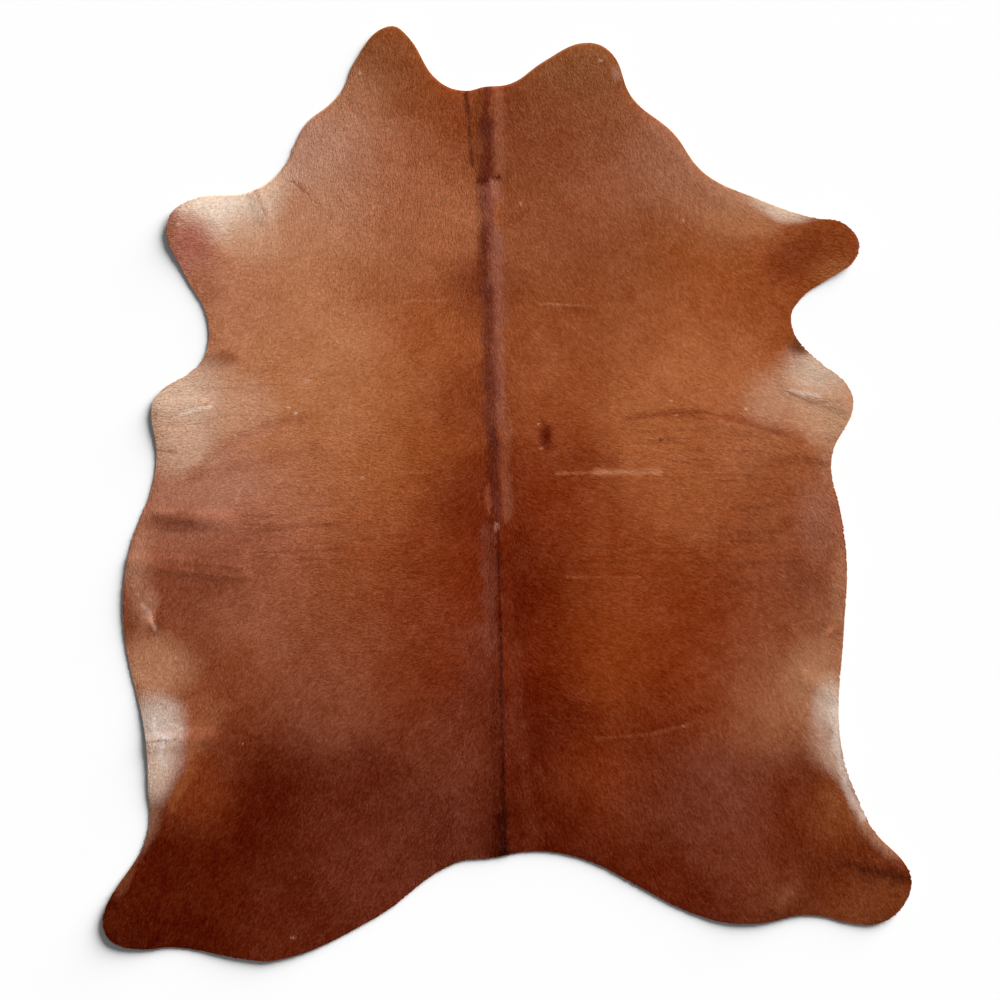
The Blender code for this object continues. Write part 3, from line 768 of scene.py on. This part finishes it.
# %% [markdown]
# ## Which way the hair lies
#
# Hair on a cow grows away from the spine and down the legs. Along the spine and the sides of the
# neck it points to the tail, on the ribs and loins it sweeps out to the belly, and on the elbows and
# flanks it turns in whorls. The table says how far it is turned outwards from tailward at a few
# places of one half, in degrees. In between, the directions are mixed by nearness. Both halves use
# the same rows, because left and right are alike in this.

# %% Comb the hair
Comb = namedtuple("Comb", "place across along reach turn")
COMB = [
    Comb("neck, by the spine", 0.15, 0.75, 0.20, 12),
    Comb("neck, side", 0.42, 0.80, 0.22, 4),
    Comb("shoulder", 0.38, 0.42, 0.30, 28),
    Comb("foreleg", 0.80, 0.58, 0.18, 80),
    Comb("elbow", 0.72, 0.22, 0.16, 62),
    Comb("ribs", 0.35, 0.05, 0.30, 84),
    Comb("loin", 0.28, -0.22, 0.28, 78),
    Comb("belly, inner", 0.64, -0.15, 0.16, 50),
    Comb("belly, outer", 0.84, -0.12, 0.14, 6),
    Comb("flank", 0.74, -0.48, 0.20, 22),
    Comb("rump", 0.30, -0.68, 0.30, 24),
    Comb("thigh", 0.60, -0.72, 0.25, 34),
    Comb("hind leg", 0.92, -0.88, 0.22, 20),
]

Whorl = namedtuple("Whorl", "place across along reach")
WHORLS = [Whorl("left flank", -0.88, -0.27, 0.05), Whorl("right flank", 0.80, -0.29, 0.04)]
SPINE = [(-0.047, 0.870), (-0.045, 0.530), (-0.024, -0.060), (-0.009, -0.620), (-0.008, -0.780)]
SPINE_TURN = 8  # degrees outwards at the spine itself
SPINE_BAND = 0.12  # metres over which the hair turns to its own way
SWAY = 9  # degrees of slow wandering
SWAY_CELL = 0.05  # metres between turns of it
SWAY_SEED = 41


def comb_at(points):
    """Direction of the hair: tailward turned outwards by the rows' angles, mixed by
    exp(-(distance / reach)^2), then drawn to straight outwards round each whorl."""
    along, across = np.array(SPINE[::-1]).T[::-1] * HALF[::-1, None]
    out = points[:, 0] - np.interp(points[:, 1], along, across)
    pull = np.zeros((len(points), 2))
    for row in COMB:
        off = np.hypot(np.abs(out) - row.across * HALF[0], points[:, 1] - row.along * HALF[1])
        turn = np.radians(row.turn)
        pull += np.exp(-((off / row.reach) ** 2))[:, None] * (np.sin(turn), np.cos(turn))
    turn = np.arctan2(pull[:, 0], pull[:, 1])
    turn -= (turn - np.radians(SPINE_TURN)) * swell(np.abs(out) / SPINE_BAND)
    turn += np.radians(SWAY) * soft_noise(points, SWAY_CELL, SWAY_SEED)
    way = np.column_stack([np.sign(out) * np.sin(turn), -np.cos(turn)])
    for whorl in WHORLS:
        off = points - np.array([whorl.across, whorl.along]) * HALF
        gap = np.linalg.norm(off, axis=1, keepdims=True) + TINY
        near = swell(gap / whorl.reach)
        way = way * (1 - near) + near * off / gap
    return way / np.linalg.norm(way, axis=1, keepdims=True)


print("at the left ribs the hair points", np.round(comb_at(np.array([[-0.35, 0.05]]))[0], 2))

# %% [markdown]
# ## The leather
#
# The leather is a closed sheet with a hair side, a flesh side and a cut edge, so each of the three
# can have its own finish. A grid of squares is the simplest surface to work on, but the hide isn't
# square. So the grid is pulled out: each square ring of it round the middle takes the shape of the
# rim, shrunk to the ring's size. No cell is cut, and no point has to be merged afterwards. It only
# works from a middle that sees the whole rim, or cells would fold over at the right foreleg.

# %% A square grid pulled out to the rim
SKIN_STEPS = 160  # cells along each side of the grid
GRID_MIDDLE = np.array([-0.16, 0.06])  # metres


def spread_grid(steps, loop):
    """Knot (u, v) goes from the middle by max(|u|, |v|) of the way to the place on the loop that
    lies as far round it as (u, v) lies round its square."""
    side = np.linspace(-1, 1, steps + 1)
    u, v = np.meshgrid(side, side)
    on_sides = np.abs(u) > np.abs(v)
    ring = np.where(on_sides, u, v)
    rest = np.where(on_sides, v, u) / np.where(ring == 0, 1, ring)
    eighths = np.where(on_sides, rest, 2 - rest) + np.where(ring < 0, 4, 0)
    round_loop = (eighths / 8 % 1) * len(loop)
    closed = np.vstack([loop, loop[:1]])
    places = [np.interp(round_loop, np.arange(len(closed)), closed[:, axis]) for axis in (0, 1)]
    return GRID_MIDDLE + np.abs(ring)[..., None] * (np.stack(places, axis=-1) - GRID_MIDDLE)


def new_piece(name, points, faces, finishes):
    """A mesh object from arrays of points and of faces with the same number of corners each."""
    mesh = bpy.data.meshes.new(name)
    mesh.vertices.add(len(points))
    mesh.vertices.foreach_set("co", points.astype(np.float32).ravel())
    mesh.loops.add(faces.size)
    mesh.loops.foreach_set("vertex_index", faces.astype(np.int32).ravel())
    mesh.polygons.add(len(faces))
    mesh.polygons.foreach_set("loop_start", np.arange(0, faces.size, faces.shape[1], dtype=np.int32))
    mesh.update(calc_edges=True)
    mesh.shade_smooth()
    for finish in finishes:
        mesh.materials.append(finish)
    piece = bpy.data.objects.new(name, mesh)
    bpy.context.collection.objects.link(piece)
    return piece


def add_map(piece, name, places):
    """A UV map with one place for each corner of each face."""
    layer = piece.data.uv_layers.new(name=name)
    layer.uv.foreach_set("vector", places.astype(np.float32).ravel())


def add_colours(piece, name, colours):
    """A colour, as light, at each point of the mesh."""
    with_alpha = np.column_stack([colours, np.ones(len(colours))])
    attribute = piece.data.color_attributes.new(name, "FLOAT_COLOR", "POINT")
    attribute.data.foreach_set("color", with_alpha.astype(np.float32).ravel())


print("a grid of", SKIN_STEPS, "by", SKIN_STEPS, "cells for each side of the leather")

# %% [markdown]
# ## Shader maths as sums
#
# A finish is a tree of nodes, and a tree is hard to read as a list of links. Below, a socket is
# wrapped so that `1 - mask` or `0.4 + 0.2 * noise` adds the Math nodes it needs. Every other node
# comes from one method, `add`, which sets the node's choices first and then its inputs. Anything
# that is the same all over a surface is set straight on the shader.

# %% Sockets with signs
class Socket:
    """An output of a node. A sign between it and a number or another one adds a Math node."""

    def __init__(self, finish, socket):
        self.finish = finish
        self.socket = socket

    def math(self, operation, first, second):
        return self.finish.add("ShaderNodeMath", {"operation": operation}, {0: first, 1: second})

    def __add__(self, other):
        return self.math("ADD", self, other)

    def __sub__(self, other):
        return self.math("SUBTRACT", self, other)

    def __rsub__(self, other):
        return self.math("SUBTRACT", other, self)

    def __mul__(self, other):
        return self.math("MULTIPLY", self, other)

    __radd__ = __add__
    __rmul__ = __mul__


class Finish:
    """One material: constants go on its Principled BSDF, and add() makes any other node."""

    def __init__(self, name, **constants):
        self.material = bpy.data.materials.new(name)
        self.material.use_nodes = True
        self.tree = self.material.node_tree
        self.shader = self.tree.nodes["Principled BSDF"]
        for title, value in constants.items():
            self.plug(value, self.shader.inputs[title.replace("_", " ")])

    def plug(self, value, socket):
        """A link from another node's socket, or else the socket's own number or colour."""
        if isinstance(value, Socket):
            self.tree.links.new(value.socket, socket)
        else:
            socket.default_value = value

    def add(self, kind, settings, inputs, output=0):
        """A node of this kind, with its settings made before its inputs are plugged."""
        node = self.tree.nodes.new(kind)
        for title, value in settings.items():
            setattr(node, title, value)
        for title, value in inputs.items():
            self.plug(value, node.inputs[title])
        return Socket(self, node.outputs[output])

    def scaled(self, vector, factor):
        return self.add("ShaderNodeVectorMath", {"operation": "SCALE"}, {0: vector, "Scale": factor})

    def vector(self, operation, vector, other):
        return self.add("ShaderNodeVectorMath", {"operation": operation}, {0: vector, 1: other})

    def times(self, vector, other):
        return self.vector("MULTIPLY", vector, other)

    def power(self, colour, exponent):
        return self.add("ShaderNodeGamma", {}, {"Color": colour, "Gamma": exponent})

    def noise(self, places, scale, detail):
        return self.add("ShaderNodeTexNoise", {}, {"Vector": places, "Scale": scale, "Detail": detail})

    def mix(self, share, first, second):
        return self.add("ShaderNodeMix", {"data_type": "RGBA"}, {0: share, 6: first, 7: second}, 2)

    def bump(self, height, distance):
        return self.add("ShaderNodeBump", {}, {"Height": height, "Distance": distance})

    def feed(self, **varying):
        """What changes over the surface goes into the shader, and the material is done."""
        for title, value in varying.items():
            self.plug(value, self.shader.inputs[title.replace("_", " ")])
        return self.material


print("finishes can now be written as sums")

# %% [markdown]
# ## Finishes of the leather
#
# In the gaps between the locks of a real coat lies its undercoat, dense fine hair of the same
# colour, so the hair side of the leather is coloured like the coat. The flesh side is suede: a
# short nap that has been buffed, so it is matt, dusty and blotchy, with faint veins where blood
# vessels ran. The cut edge is the same leather seen in section, smooth from the knife and a little
# lighter.

# %% Finishes of the leather
DARK_SUEDE, PALE_SUEDE = (0.50, 0.40, 0.30, 1), (0.68, 0.57, 0.45, 1)
BRUSHED_SUEDE = (0.44, 0.34, 0.25, 1)
VEIN = (0.36, 0.25, 0.18, 1)
DARK_FIBRES, PALE_FIBRES = (0.42, 0.30, 0.20, 1), (0.66, 0.52, 0.38, 1)


def suede_finish():
    """Beige blotches of two sizes, thin darker veins where a third noise is near its middle, and a
    fine nap as bump."""
    finish = Finish("suede flesh side", Specular_IOR_Level=0.15, Sheen_Weight=0.25, Sheen_Roughness=0.6)
    places = finish.add("ShaderNodeTexCoord", {}, {}, "Object")
    blotches = finish.noise(places, 4, 4)
    nap = finish.noise(places, 700, 2)
    brushed = finish.noise(finish.times(places, (60, 14, 60)), 1, 3)
    ran = finish.noise(places, 5.5, 2)
    gap = finish.add("ShaderNodeMath", {"operation": "ABSOLUTE"}, {0: ran - 0.5})
    vein = finish.add("ShaderNodeMapRange", {"interpolation_type": "SMOOTHSTEP"},
                      {"Value": gap, "From Min": 0.0, "From Max": 0.012, "To Min": 1.0, "To Max": 0.0})
    colour = finish.mix(blotches, DARK_SUEDE, PALE_SUEDE)
    colour = finish.mix(0.35 * brushed, colour, BRUSHED_SUEDE)
    colour = finish.mix(0.22 * vein, colour, VEIN)
    colour = finish.scaled(colour, 0.86 + 0.28 * nap)
    height = nap + 0.8 * brushed - 0.5 * vein
    return finish.feed(Base_Color=colour, Roughness=0.86 + 0.1 * nap, Normal=finish.bump(height, 0.0006))


def edge_finish():
    """Pale and dark fibres: fine noise whose grains are three times as long as they are high."""
    finish = Finish("cut edge of the leather", Specular_IOR_Level=0.3)
    places = finish.add("ShaderNodeTexCoord", {}, {}, "Object")
    fibres = finish.noise(finish.times(places, (1, 1, 3)), 500, 3)
    colour = finish.mix(fibres, DARK_FIBRES, PALE_FIBRES)
    return finish.feed(Base_Color=colour, Roughness=0.6 + 0.2 * fibres, Normal=finish.bump(fibres, 0.0004))


def undercoat_finish():
    """The coat's own colour at each place, times 1.12 to 1.42 by fine pores, for the light that real
    hair scatters down into its gaps."""
    finish = Finish("skin under the hair", Specular_IOR_Level=0.05)
    tone = finish.add("ShaderNodeAttribute", {"attribute_name": "tone"}, {}, "Color")
    places = finish.add("ShaderNodeTexCoord", {}, {}, "Object")
    pores = finish.noise(places, 420, 2)
    colour = finish.scaled(tone, 1.12 + 0.3 * pores)
    return finish.feed(Base_Color=colour, Roughness=0.7 + 0.15 * pores, Normal=finish.bump(pores, 0.0005))


print("three finishes for the leather")

# %% [markdown]
# ## The leather with its undercoat
#
# The grid is used twice, for the flesh side and for the hair side, and rows of points round the rim
# join the two. A Solidify modifier could give the thickness as well, but the sides aren't alike. The
# hair side is raised by the undercoat, which thins out towards the edge, so the gaps between the
# locks are shallow and don't go dark. The grid is too coarse for narrow troughs, so those of the
# hair side are made wider than the coat's own, or the skin would show through the locks.

# %% Make the leather
SPARE = 0.010  # metres by which a trough is wider in the skin than in the coat, on each side
UNDERFUR = 0.0020  # metres that the undercoat stands above the skin
THIN_RIM = 0.020  # metres from the edge over which the coat reaches its depth
EDGE_ANGLE = 40  # degrees between two faces from which on they meet in a sharp line
EDGE_ROWS = [(0.25, 0.0005), (0.75, 0.0005)]  # share of the thickness, and how far it stands out
FLESH_CORNER, FLESH_SIZE = (0.005, 0.005), (0.62, 0.94)  # where each part lies on the UV map
GRAIN_CORNER, GRAIN_SIZE = (0.640, 0.005), (0.355, 0.94)
EDGE_CORNER, EDGE_SIZE = (0.005, 0.960), (0.99, 0.035)


def grid_cells(knots):
    """The four knots of each cell, against the clock."""
    corners = [knots[:-1, :-1], knots[:-1, 1:], knots[1:, 1:], knots[1:, :-1]]
    return np.stack(corners, axis=-1).reshape(-1, 4)


def make_leather():
    """The flesh side follows the solid, and the grain side lies SKIN above it with every fine crease
    and the undercoat. Rows of points round the rim bulge a little between them, and a sharp line
    parts each side from the cut edge."""
    flat = spread_grid(SKIN_STEPS, RIM)
    places = flat.reshape(-1, 2)
    low, fine = solid_relief(places), creasing(places)
    hollow = np.minimum(creasing(places, SPARE), fine)
    filled = UNDERFUR * np.clip(from_edge(places) / THIN_RIM, 0, 1)
    flesh = np.column_stack([places, low + np.maximum(fine, 0)])
    grain = np.column_stack([places, low + hollow + SKIN + filled])
    knots = np.arange(len(places)).reshape(flat.shape[:2])
    rim = np.concatenate([knots[0, :-1], knots[:-1, -1], knots[-1, :0:-1], knots[:0:-1, 0]])
    points, rings = [flesh, grain], [rim]
    for number, (share, bulge) in enumerate(EDGE_ROWS):
        ring = flesh[rim] * (1 - share) + grain[rim] * share
        ring[:, :2] = inset(ring[:, :2], -bulge)
        points.append(ring)
        rings.append(2 * len(places) + number * len(rim) + np.arange(len(rim)))
    rings.append(rim + len(places))
    rings = np.column_stack([np.array(rings), np.array(rings)[:, :1]])
    cells = grid_cells(knots)
    walls = grid_cells(rings)
    faces = np.concatenate([cells[:, ::-1], cells + len(places), walls])
    finishes = [suede_finish(), undercoat_finish(), edge_finish()]
    leather = new_piece("leather", np.concatenate(points), faces, finishes)
    leather.data.set_sharp_from_angle(angle=np.radians(EDGE_ANGLE))
    kind = np.repeat([0, 1, 2], [len(cells), len(cells), len(walls)])
    leather.data.polygons.foreach_set("material_index", kind.astype(np.int32))
    square = np.stack(np.meshgrid(*2 * [np.linspace(0, 1, SKIN_STEPS + 1)]), axis=-1).reshape(-1, 2)
    strip = np.stack(np.meshgrid(np.linspace(0, 1, rings.shape[1]), np.linspace(0, 1, len(rings))), axis=-1)
    strip_cells = grid_cells(np.arange(rings.size).reshape(rings.shape))
    corners = [
        FLESH_CORNER + square[cells[:, ::-1]] * FLESH_SIZE,
        GRAIN_CORNER + square[cells] * GRAIN_SIZE,
        EDGE_CORNER + strip.reshape(-1, 2)[strip_cells] * EDGE_SIZE,
    ]
    add_map(leather, "OFBake", np.concatenate(corners))
    add_colours(leather, "tone", coat_colours(np.concatenate(points)[:, :2]))
    return leather


leather = make_leather()
print("leather:", len(leather.data.polygons), "faces")

# %% [markdown]
# ## The coat
#
# Real hair would be some hundred million strands. What the eye reads on such a hide is the small
# locks that they cling together in: 3 to 4.5 mm wide, 8.5 to 14.5 mm long, each lying over the next
# one's root. So each lock is one kite of two faces, with its sides a little lower than its ridge and
# its tip raised by up to the coat's depth. Its root is out of sight, so it starts just under the
# other locks. Only near the cut edge, where it could be seen, does it come out of the skin.
# Blender's own hair would look finer, but it isn't a mesh and can't be kept as one.
#
# The locks grow on a square grid whose knots are shaken, so there are neither rows nor bald gaps.

# %% Grow the locks
PITCH = 0.00266  # metres between the roots
KEEP_IN = 0.0004  # metres that a root stays from the cut edge
LOCK_LENGTH = (0.0085, 0.0145)  # metres, least and most
LOCK_WIDTH = (0.0028, 0.0044)
WAIST = 0.42  # share of its length at which a lock is widest
STRAY = 7  # degrees that a lock is off the combed direction, as a standard deviation
BEND = 0.12  # of its length that a tip lies to one side at most
SUNK = 0.0003  # metres that a root near the cut edge lies in the skin
ROOTED = 0.7  # of its depth at which a lock comes out from under the others
ROOT_BAND = 0.006  # metres from the edge over which the roots come up to there out of the skin
RIM_DEPTH = 0.6  # of the coat's depth that is left at the edge
ROOF = 0.00010  # metres that a lock's sides are lower than its ridge
LEAST_RISE = 0.8  # of the coat's depth at a tip
OVERHANG = 0.0016  # metres that a tip may reach past the leather
SHORTEST = 0.3  # of its length that is left of a lock at the edge
random = np.random.default_rng(7)  # one fixed row of draws for everything that differs by lock


def lock_roots():
    """Each knot of the square grid moved by up to half a step each way, where it is on the hide."""
    across, along = (np.arange(-half, half, PITCH) for half in HALF)
    knots = np.stack(np.meshgrid(across, along), axis=-1).reshape(-1, 2)
    knots += random.uniform(-PITCH / 2, PITCH / 2, knots.shape)
    return knots[from_edge(knots) > KEEP_IN]


def lock_ways(roots):
    """The combed direction of each lock, turned by its own stray angle."""
    stray = np.radians(random.normal(0, STRAY, len(roots)))
    way = comb_at(roots)
    left = np.column_stack([-way[:, 1], way[:, 0]])
    return way * np.cos(stray)[:, None] + left * np.sin(stray)[:, None]


def lock_lengths(roots, way):
    """A random length, cut where the lock would reach further past the leather than it may."""
    length = random.uniform(*LOCK_LENGTH, len(roots))
    start = from_edge(roots)
    end = from_edge(roots + way * length[:, None])
    room = (start + OVERHANG) / np.maximum(start - end, TINY)
    return length * np.where(end < -OVERHANG, np.clip(room, SHORTEST, 1), 1)


def skin_height(places):
    """Height of the leather's hair side, without the undercoat."""
    return solid_relief(places) + creasing(places) + SKIN


def lock_corners(roots, way):
    """Root, right side, tip and left side of each lock, and how steeply it rises from the skin."""
    length = lock_lengths(roots, way)[:, None]
    left = np.column_stack([-way[:, 1], way[:, 0]])
    half_width = random.uniform(*LOCK_WIDTH, (len(roots), 1)) / 2
    bend = random.uniform(-BEND, BEND, (len(roots), 1)) * length
    middle = roots + way * length * WAIST
    tips = roots + way * length + left * bend
    depth = COAT * random.uniform(LEAST_RISE, 1, len(roots))
    depth *= RIM_DEPTH + (1 - RIM_DEPTH) * np.clip(from_edge(roots) / THIN_RIM, 0, 1)
    start = depth * ROOTED * np.clip(from_edge(roots) / ROOT_BAND, 0, 1)
    sides = skin_height(middle) + start + (depth - start) * WAIST - ROOF
    corners = [
        np.column_stack([roots, skin_height(roots) + start - SUNK]),
        np.column_stack([middle - left * half_width, sides]),
        np.column_stack([tips, skin_height(tips) + depth]),
        np.column_stack([middle + left * half_width, sides]),
    ]
    return np.stack(corners, axis=1), (depth - start + SUNK) / length[:, 0]


roots = lock_roots()
locks, steepness = lock_corners(roots, lock_ways(roots))
print(len(locks), "locks that rise by", round(steepness.mean(), 2), "of their length")

# %% [markdown]
# ## The colour of each lock
#
# A lock takes the coat's colour at its middle, a random amount lighter or darker, because no two
# locks are alike. It is darker and warmer at its root, which lies in the others' shadow, and lighter
# at its tip.
#
# The tables say how the coat looks under a low light from the upper right. Hair that leans away from
# that light turns its flat side to it and looks brighter, which it will do here as well, under the
# same light. So that share is taken out of the colours first, or the left half would get it twice.

# %% Colour the locks
LOCK_SHADES = (-0.038, 0.038)  # by which locks differ, as shares of the screen's range
ALONG_LOCK = np.array(
    [
        (0.92, 0.84, 0.76),  # root, in warm shade
        (0.98, 0.98, 0.98),
        (1.08, 1.10, 1.12),  # tip
        (0.98, 0.98, 0.98),
    ]
)
STREAK_CELL = 0.0028  # metres, about a lock's width
STREAK_SEED = 51
STREAK_STEPS = np.array([-0.005, -0.0025, 0, 0.0025, 0.005])  # metres along the hair
STREAK_SHADE = 0.011  # by which clumps differ, as a share of the screen's range
STREAK_SPREAD = 0.28  # about how far the averaged noise strays from 0
KEY_BEARING = 46  # degrees from +X towards +Y at which the light stands
LEVEL_GAIN = 0.995  # brightness of a level lock
SLOPE_GAIN = 1.9  # what a slope of 1 straight away from the light would add


def streaks(places):
    """Noise averaged over a few steps along the hair, which draws it out into clumps of locks."""
    way = comb_at(places)
    noises = [soft_noise(places + step * way, STREAK_CELL, STREAK_SEED) for step in STREAK_STEPS]
    return np.mean(noises, axis=0)


def gain(places, steepness):
    """How bright a lock's slope makes it: most where it rises straight away from the light."""
    bearing = np.radians(KEY_BEARING)
    towards = comb_at(places) @ (np.cos(bearing), np.sin(bearing))
    return LEVEL_GAIN - SLOPE_GAIN * steepness * towards


def lock_colours(locks, steepness):
    """The coat's colour midway between a lock's sides, with its own and its clump's shade added and
    the brightness of its slope divided out, times ALONG_LOCK for its four corners."""
    middles = locks[:, 1:4:2, :2].mean(axis=1)
    amount = random.uniform(*LOCK_SHADES, len(locks))
    amount += STREAK_SHADE * streaks(middles) / STREAK_SPREAD
    colours = faded(coat_colours(middles), amount) / gain(middles, steepness)[:, None]
    return np.clip(colours[:, None] * ALONG_LOCK, 0, 1)


colours = lock_colours(locks, steepness)
print("mean colour of the coat, as light:", np.round(colours.mean(axis=(0, 1)), 3))

# %% [markdown]
# ## The finish of the hair
#
# One lock is still wider than a hair. Each has its own little map, across and along it, and a noise
# stretched along that map draws the single hairs: in the colour, in the gloss and as fine grooves.
# Short hair on a tanned hide is satin, neither dull nor wet.

# %% Finish of the hair
HAIRS_ACROSS = 5.0  # hairs that show across a lock
CHANGES_ALONG = 0.9  # times that a hair's shade changes along a lock
WARM_GLOSS = (1.0, 0.45, 0.2, 1)  # light that has been through a brown hair comes back warm
HAIR_SHADE = 0.068  # by which single hairs differ, as a share of the screen's range
HAIR_MIDDLE = 0.54  # value of the streaks' noise at which a hair has just the coat's tone
DARKEST = (0.02, 0.02, 0.02)  # shade on the screen that no hair goes below


def hair_finish():
    """The coat's tone with fine streaks along each lock, added on the screen's scale and not
    multiplied, so that pale hair isn't streakier than dark hair."""
    finish = Finish("short lying hair", Specular_IOR_Level=0.07, Specular_Tint=WARM_GLOSS)
    tone = finish.add("ShaderNodeAttribute", {"attribute_name": "tone"}, {}, "Color")
    strand = finish.add("ShaderNodeUVMap", {"uv_map": "strand"}, {}, "UV")
    hairs = finish.noise(finish.times(strand, (HAIRS_ACROSS, CHANGES_ALONG, 1)), 1, 2)
    seen = finish.power(tone, 1 / GAMMA)
    added = 2 * HAIR_SHADE * (hairs - HAIR_MIDDLE)
    shaded = finish.vector("MAXIMUM", finish.vector("ADD", seen, added), DARKEST)
    colour = finish.power(shaded, GAMMA)
    return finish.feed(Base_Color=colour, Roughness=0.42 + 0.2 * hairs, Normal=finish.bump(hairs, 0.0002))


hair = hair_finish()
print("the hair's finish has", len(hair.node_tree.nodes), "nodes")

# %% [markdown]
# ## The coat as pieces
#
# A single mesh of all the locks would be too heavy to keep, so the coat is parted from neck to tail
# into strips with equally many locks. Nothing of that shows, because the locks of two strips lie
# over each other as they do within one. On the map that colours are kept on, each lock has a small
# cell of its own, with its neighbours on the hide beside it.

# %% Part the coat into strips
STRIPS = 8
KITE = np.array([(0.5, 0), (1, WAIST), (0.5, 1), (0, WAIST)])  # root, right side, tip, left side
KITE_FACES = np.array([(0, 1, 2), (0, 2, 3)])
CELL_FILL = 0.8  # of its cell on the map that a lock takes up
STRAND_STARTS = 200  # steps each way from which a lock's own map may start, so neighbours differ


def cell_corners(middles):
    """Each lock's lower left corner on a square map of cells: rows by its place along the hide, and
    within a row by its place across it. Also how many cells make a side."""
    side = int(np.ceil(np.sqrt(len(middles))))
    by_row = np.argsort(middles[:, 1], kind="stable")
    corner = np.empty((len(middles), 2))
    for row, members in enumerate(np.array_split(by_row, side)):
        in_row = members[np.argsort(middles[members, 0], kind="stable")]
        corner[in_row] = np.column_stack([np.arange(len(in_row)), np.full(len(in_row), row)])
    return corner, side


def make_strip(name, locks, colours):
    """The locks as one piece. Each has a cell on the map that colours are kept on, and a place of its
    own on the map of the streaks."""
    faces = (4 * np.arange(len(locks))[:, None, None] + KITE_FACES).reshape(-1, 3)
    strip = new_piece(name, locks.reshape(-1, 3), faces, [hair])
    corner, side = cell_corners(locks.mean(axis=1)[:, :2])
    kept = (corner[:, None] + (1 - CELL_FILL) / 2 + CELL_FILL * KITE) / side
    own = KITE + 2 * random.integers(0, STRAND_STARTS, (len(locks), 1, 2))
    add_map(strip, "OFBake", kept[:, KITE_FACES])
    add_map(strip, "strand", own[:, KITE_FACES])
    add_colours(strip, "tone", colours.reshape(-1, 3))
    return strip


from_left = np.argsort(locks[:, 0, 0], kind="stable")
coat = []
for number, members in enumerate(np.array_split(from_left, STRIPS), start=1):
    coat.append(make_strip(f"coat_{number}", locks[members], colours[members]))
print(len(coat), "strips of about", len(locks) // STRIPS, "locks")

# %% [markdown]
# ## What stands for what
#
# Everything here is one body. The leather and the coat together stand for the solid. The leather is
# a sheet, cut flat from one skin and laid down.

for piece in [leather, *coat]:
    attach(piece, "root")
    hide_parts("hide")

# %% [markdown]
# ## Floor, light and camera
#
# The hide is shown on a plain white floor, from straight above. The light comes low from the upper
# right, so the edge throws a narrow soft shadow down and to the left, and the rest comes from a pale
# sky. A lamp a few metres off would light one leg more than the other, so the light is of the kind
# that is infinitely far away, widened until its shadows are soft. A long lens far up keeps the view
# free of perspective.

# %% Floor
FLOOR_SIZE = 14  # metres along each side
FLOOR_KNOTS = 9
FLOOR_DROP = 0.0003  # metres that it lies below the leather, so that no two faces coincide
FLOOR_COLOUR = (0.80, 0.80, 0.80)


def make_floor():
    """A level square just below the hide, with a faint grain."""
    finish = Finish("pale floor", Specular_IOR_Level=0.1, Roughness=0.9)
    places = finish.add("ShaderNodeTexCoord", {}, {}, "Object")
    grain = finish.noise(places, 300, 2)
    material = finish.feed(Base_Color=finish.scaled(FLOOR_COLOUR, 0.99 + 0.02 * grain))
    side = np.linspace(-FLOOR_SIZE / 2, FLOOR_SIZE / 2, FLOOR_KNOTS)
    flat = np.stack(np.meshgrid(side, side), axis=-1).reshape(-1, 2)
    points = np.column_stack([flat, np.full(len(flat), -FLOOR_DROP)])
    knots = np.arange(len(flat)).reshape(FLOOR_KNOTS, FLOOR_KNOTS)
    return new_piece("floor", points, grid_cells(knots), [material])


floor = make_floor()
print("floor:", FLOOR_SIZE, "m square")

# %% Light
KEY_HEIGHT = 20  # degrees above the floor
KEY_SPREAD = 44  # degrees across the light, as seen from the hide: the softness of its shadows
KEY_STRENGTH = 9.8  # watts on a square metre that faces it
SKY = 0.17  # brightness of the white sky


def key_light(bearing, height, spread, strength):
    """A light so far away that it is as strong all over the hide, turned down along its beam."""
    light = bpy.data.lights.new("key light", "SUN")
    light.angle = np.radians(spread)
    light.energy = strength
    lamp = bpy.data.objects.new("key light", light)
    lamp.rotation_euler = (np.radians(90 - height), 0, np.radians(bearing + 90))
    bpy.context.collection.objects.link(lamp)


def pale_sky(strength):
    """White light from all round, equally strong everywhere."""
    world = bpy.data.worlds.new("pale sky")
    world.use_nodes = True
    world.node_tree.nodes["Background"].inputs["Color"].default_value = (1, 1, 1, 1)
    world.node_tree.nodes["Background"].inputs["Strength"].default_value = strength
    bpy.context.scene.world = world


key_light(KEY_BEARING, KEY_HEIGHT, KEY_SPREAD, KEY_STRENGTH)
pale_sky(SKY)
bpy.context.scene.view_settings.view_transform = "Standard"
print("one far soft light and a pale sky")

# %% Camera
VIEW_WIDTH = 2.28  # metres across the picture
VIEW_MIDDLE = (-0.0158, -0.0152)  # metres, below the camera
LENS = 100  # millimetres
SENSOR = 36  # millimetres

camera = bpy.data.objects.new("camera", bpy.data.cameras.new("camera"))
camera.data.lens = LENS
camera.data.sensor_width = SENSOR
camera.location = (*VIEW_MIDDLE, VIEW_WIDTH * LENS / SENSOR)
bpy.context.collection.objects.link(camera)
bpy.context.scene.camera = camera
print("camera", round(camera.location.z, 2), "m up")

# %% [markdown]
# ## The solid's size
#
# The dressed hide may stand a little proud of the solid, as hair does. The solid's box is printed.

# %% Print the solid's box
print("solid:", [np.round(corner, 4) for corner in CAD_BOX])
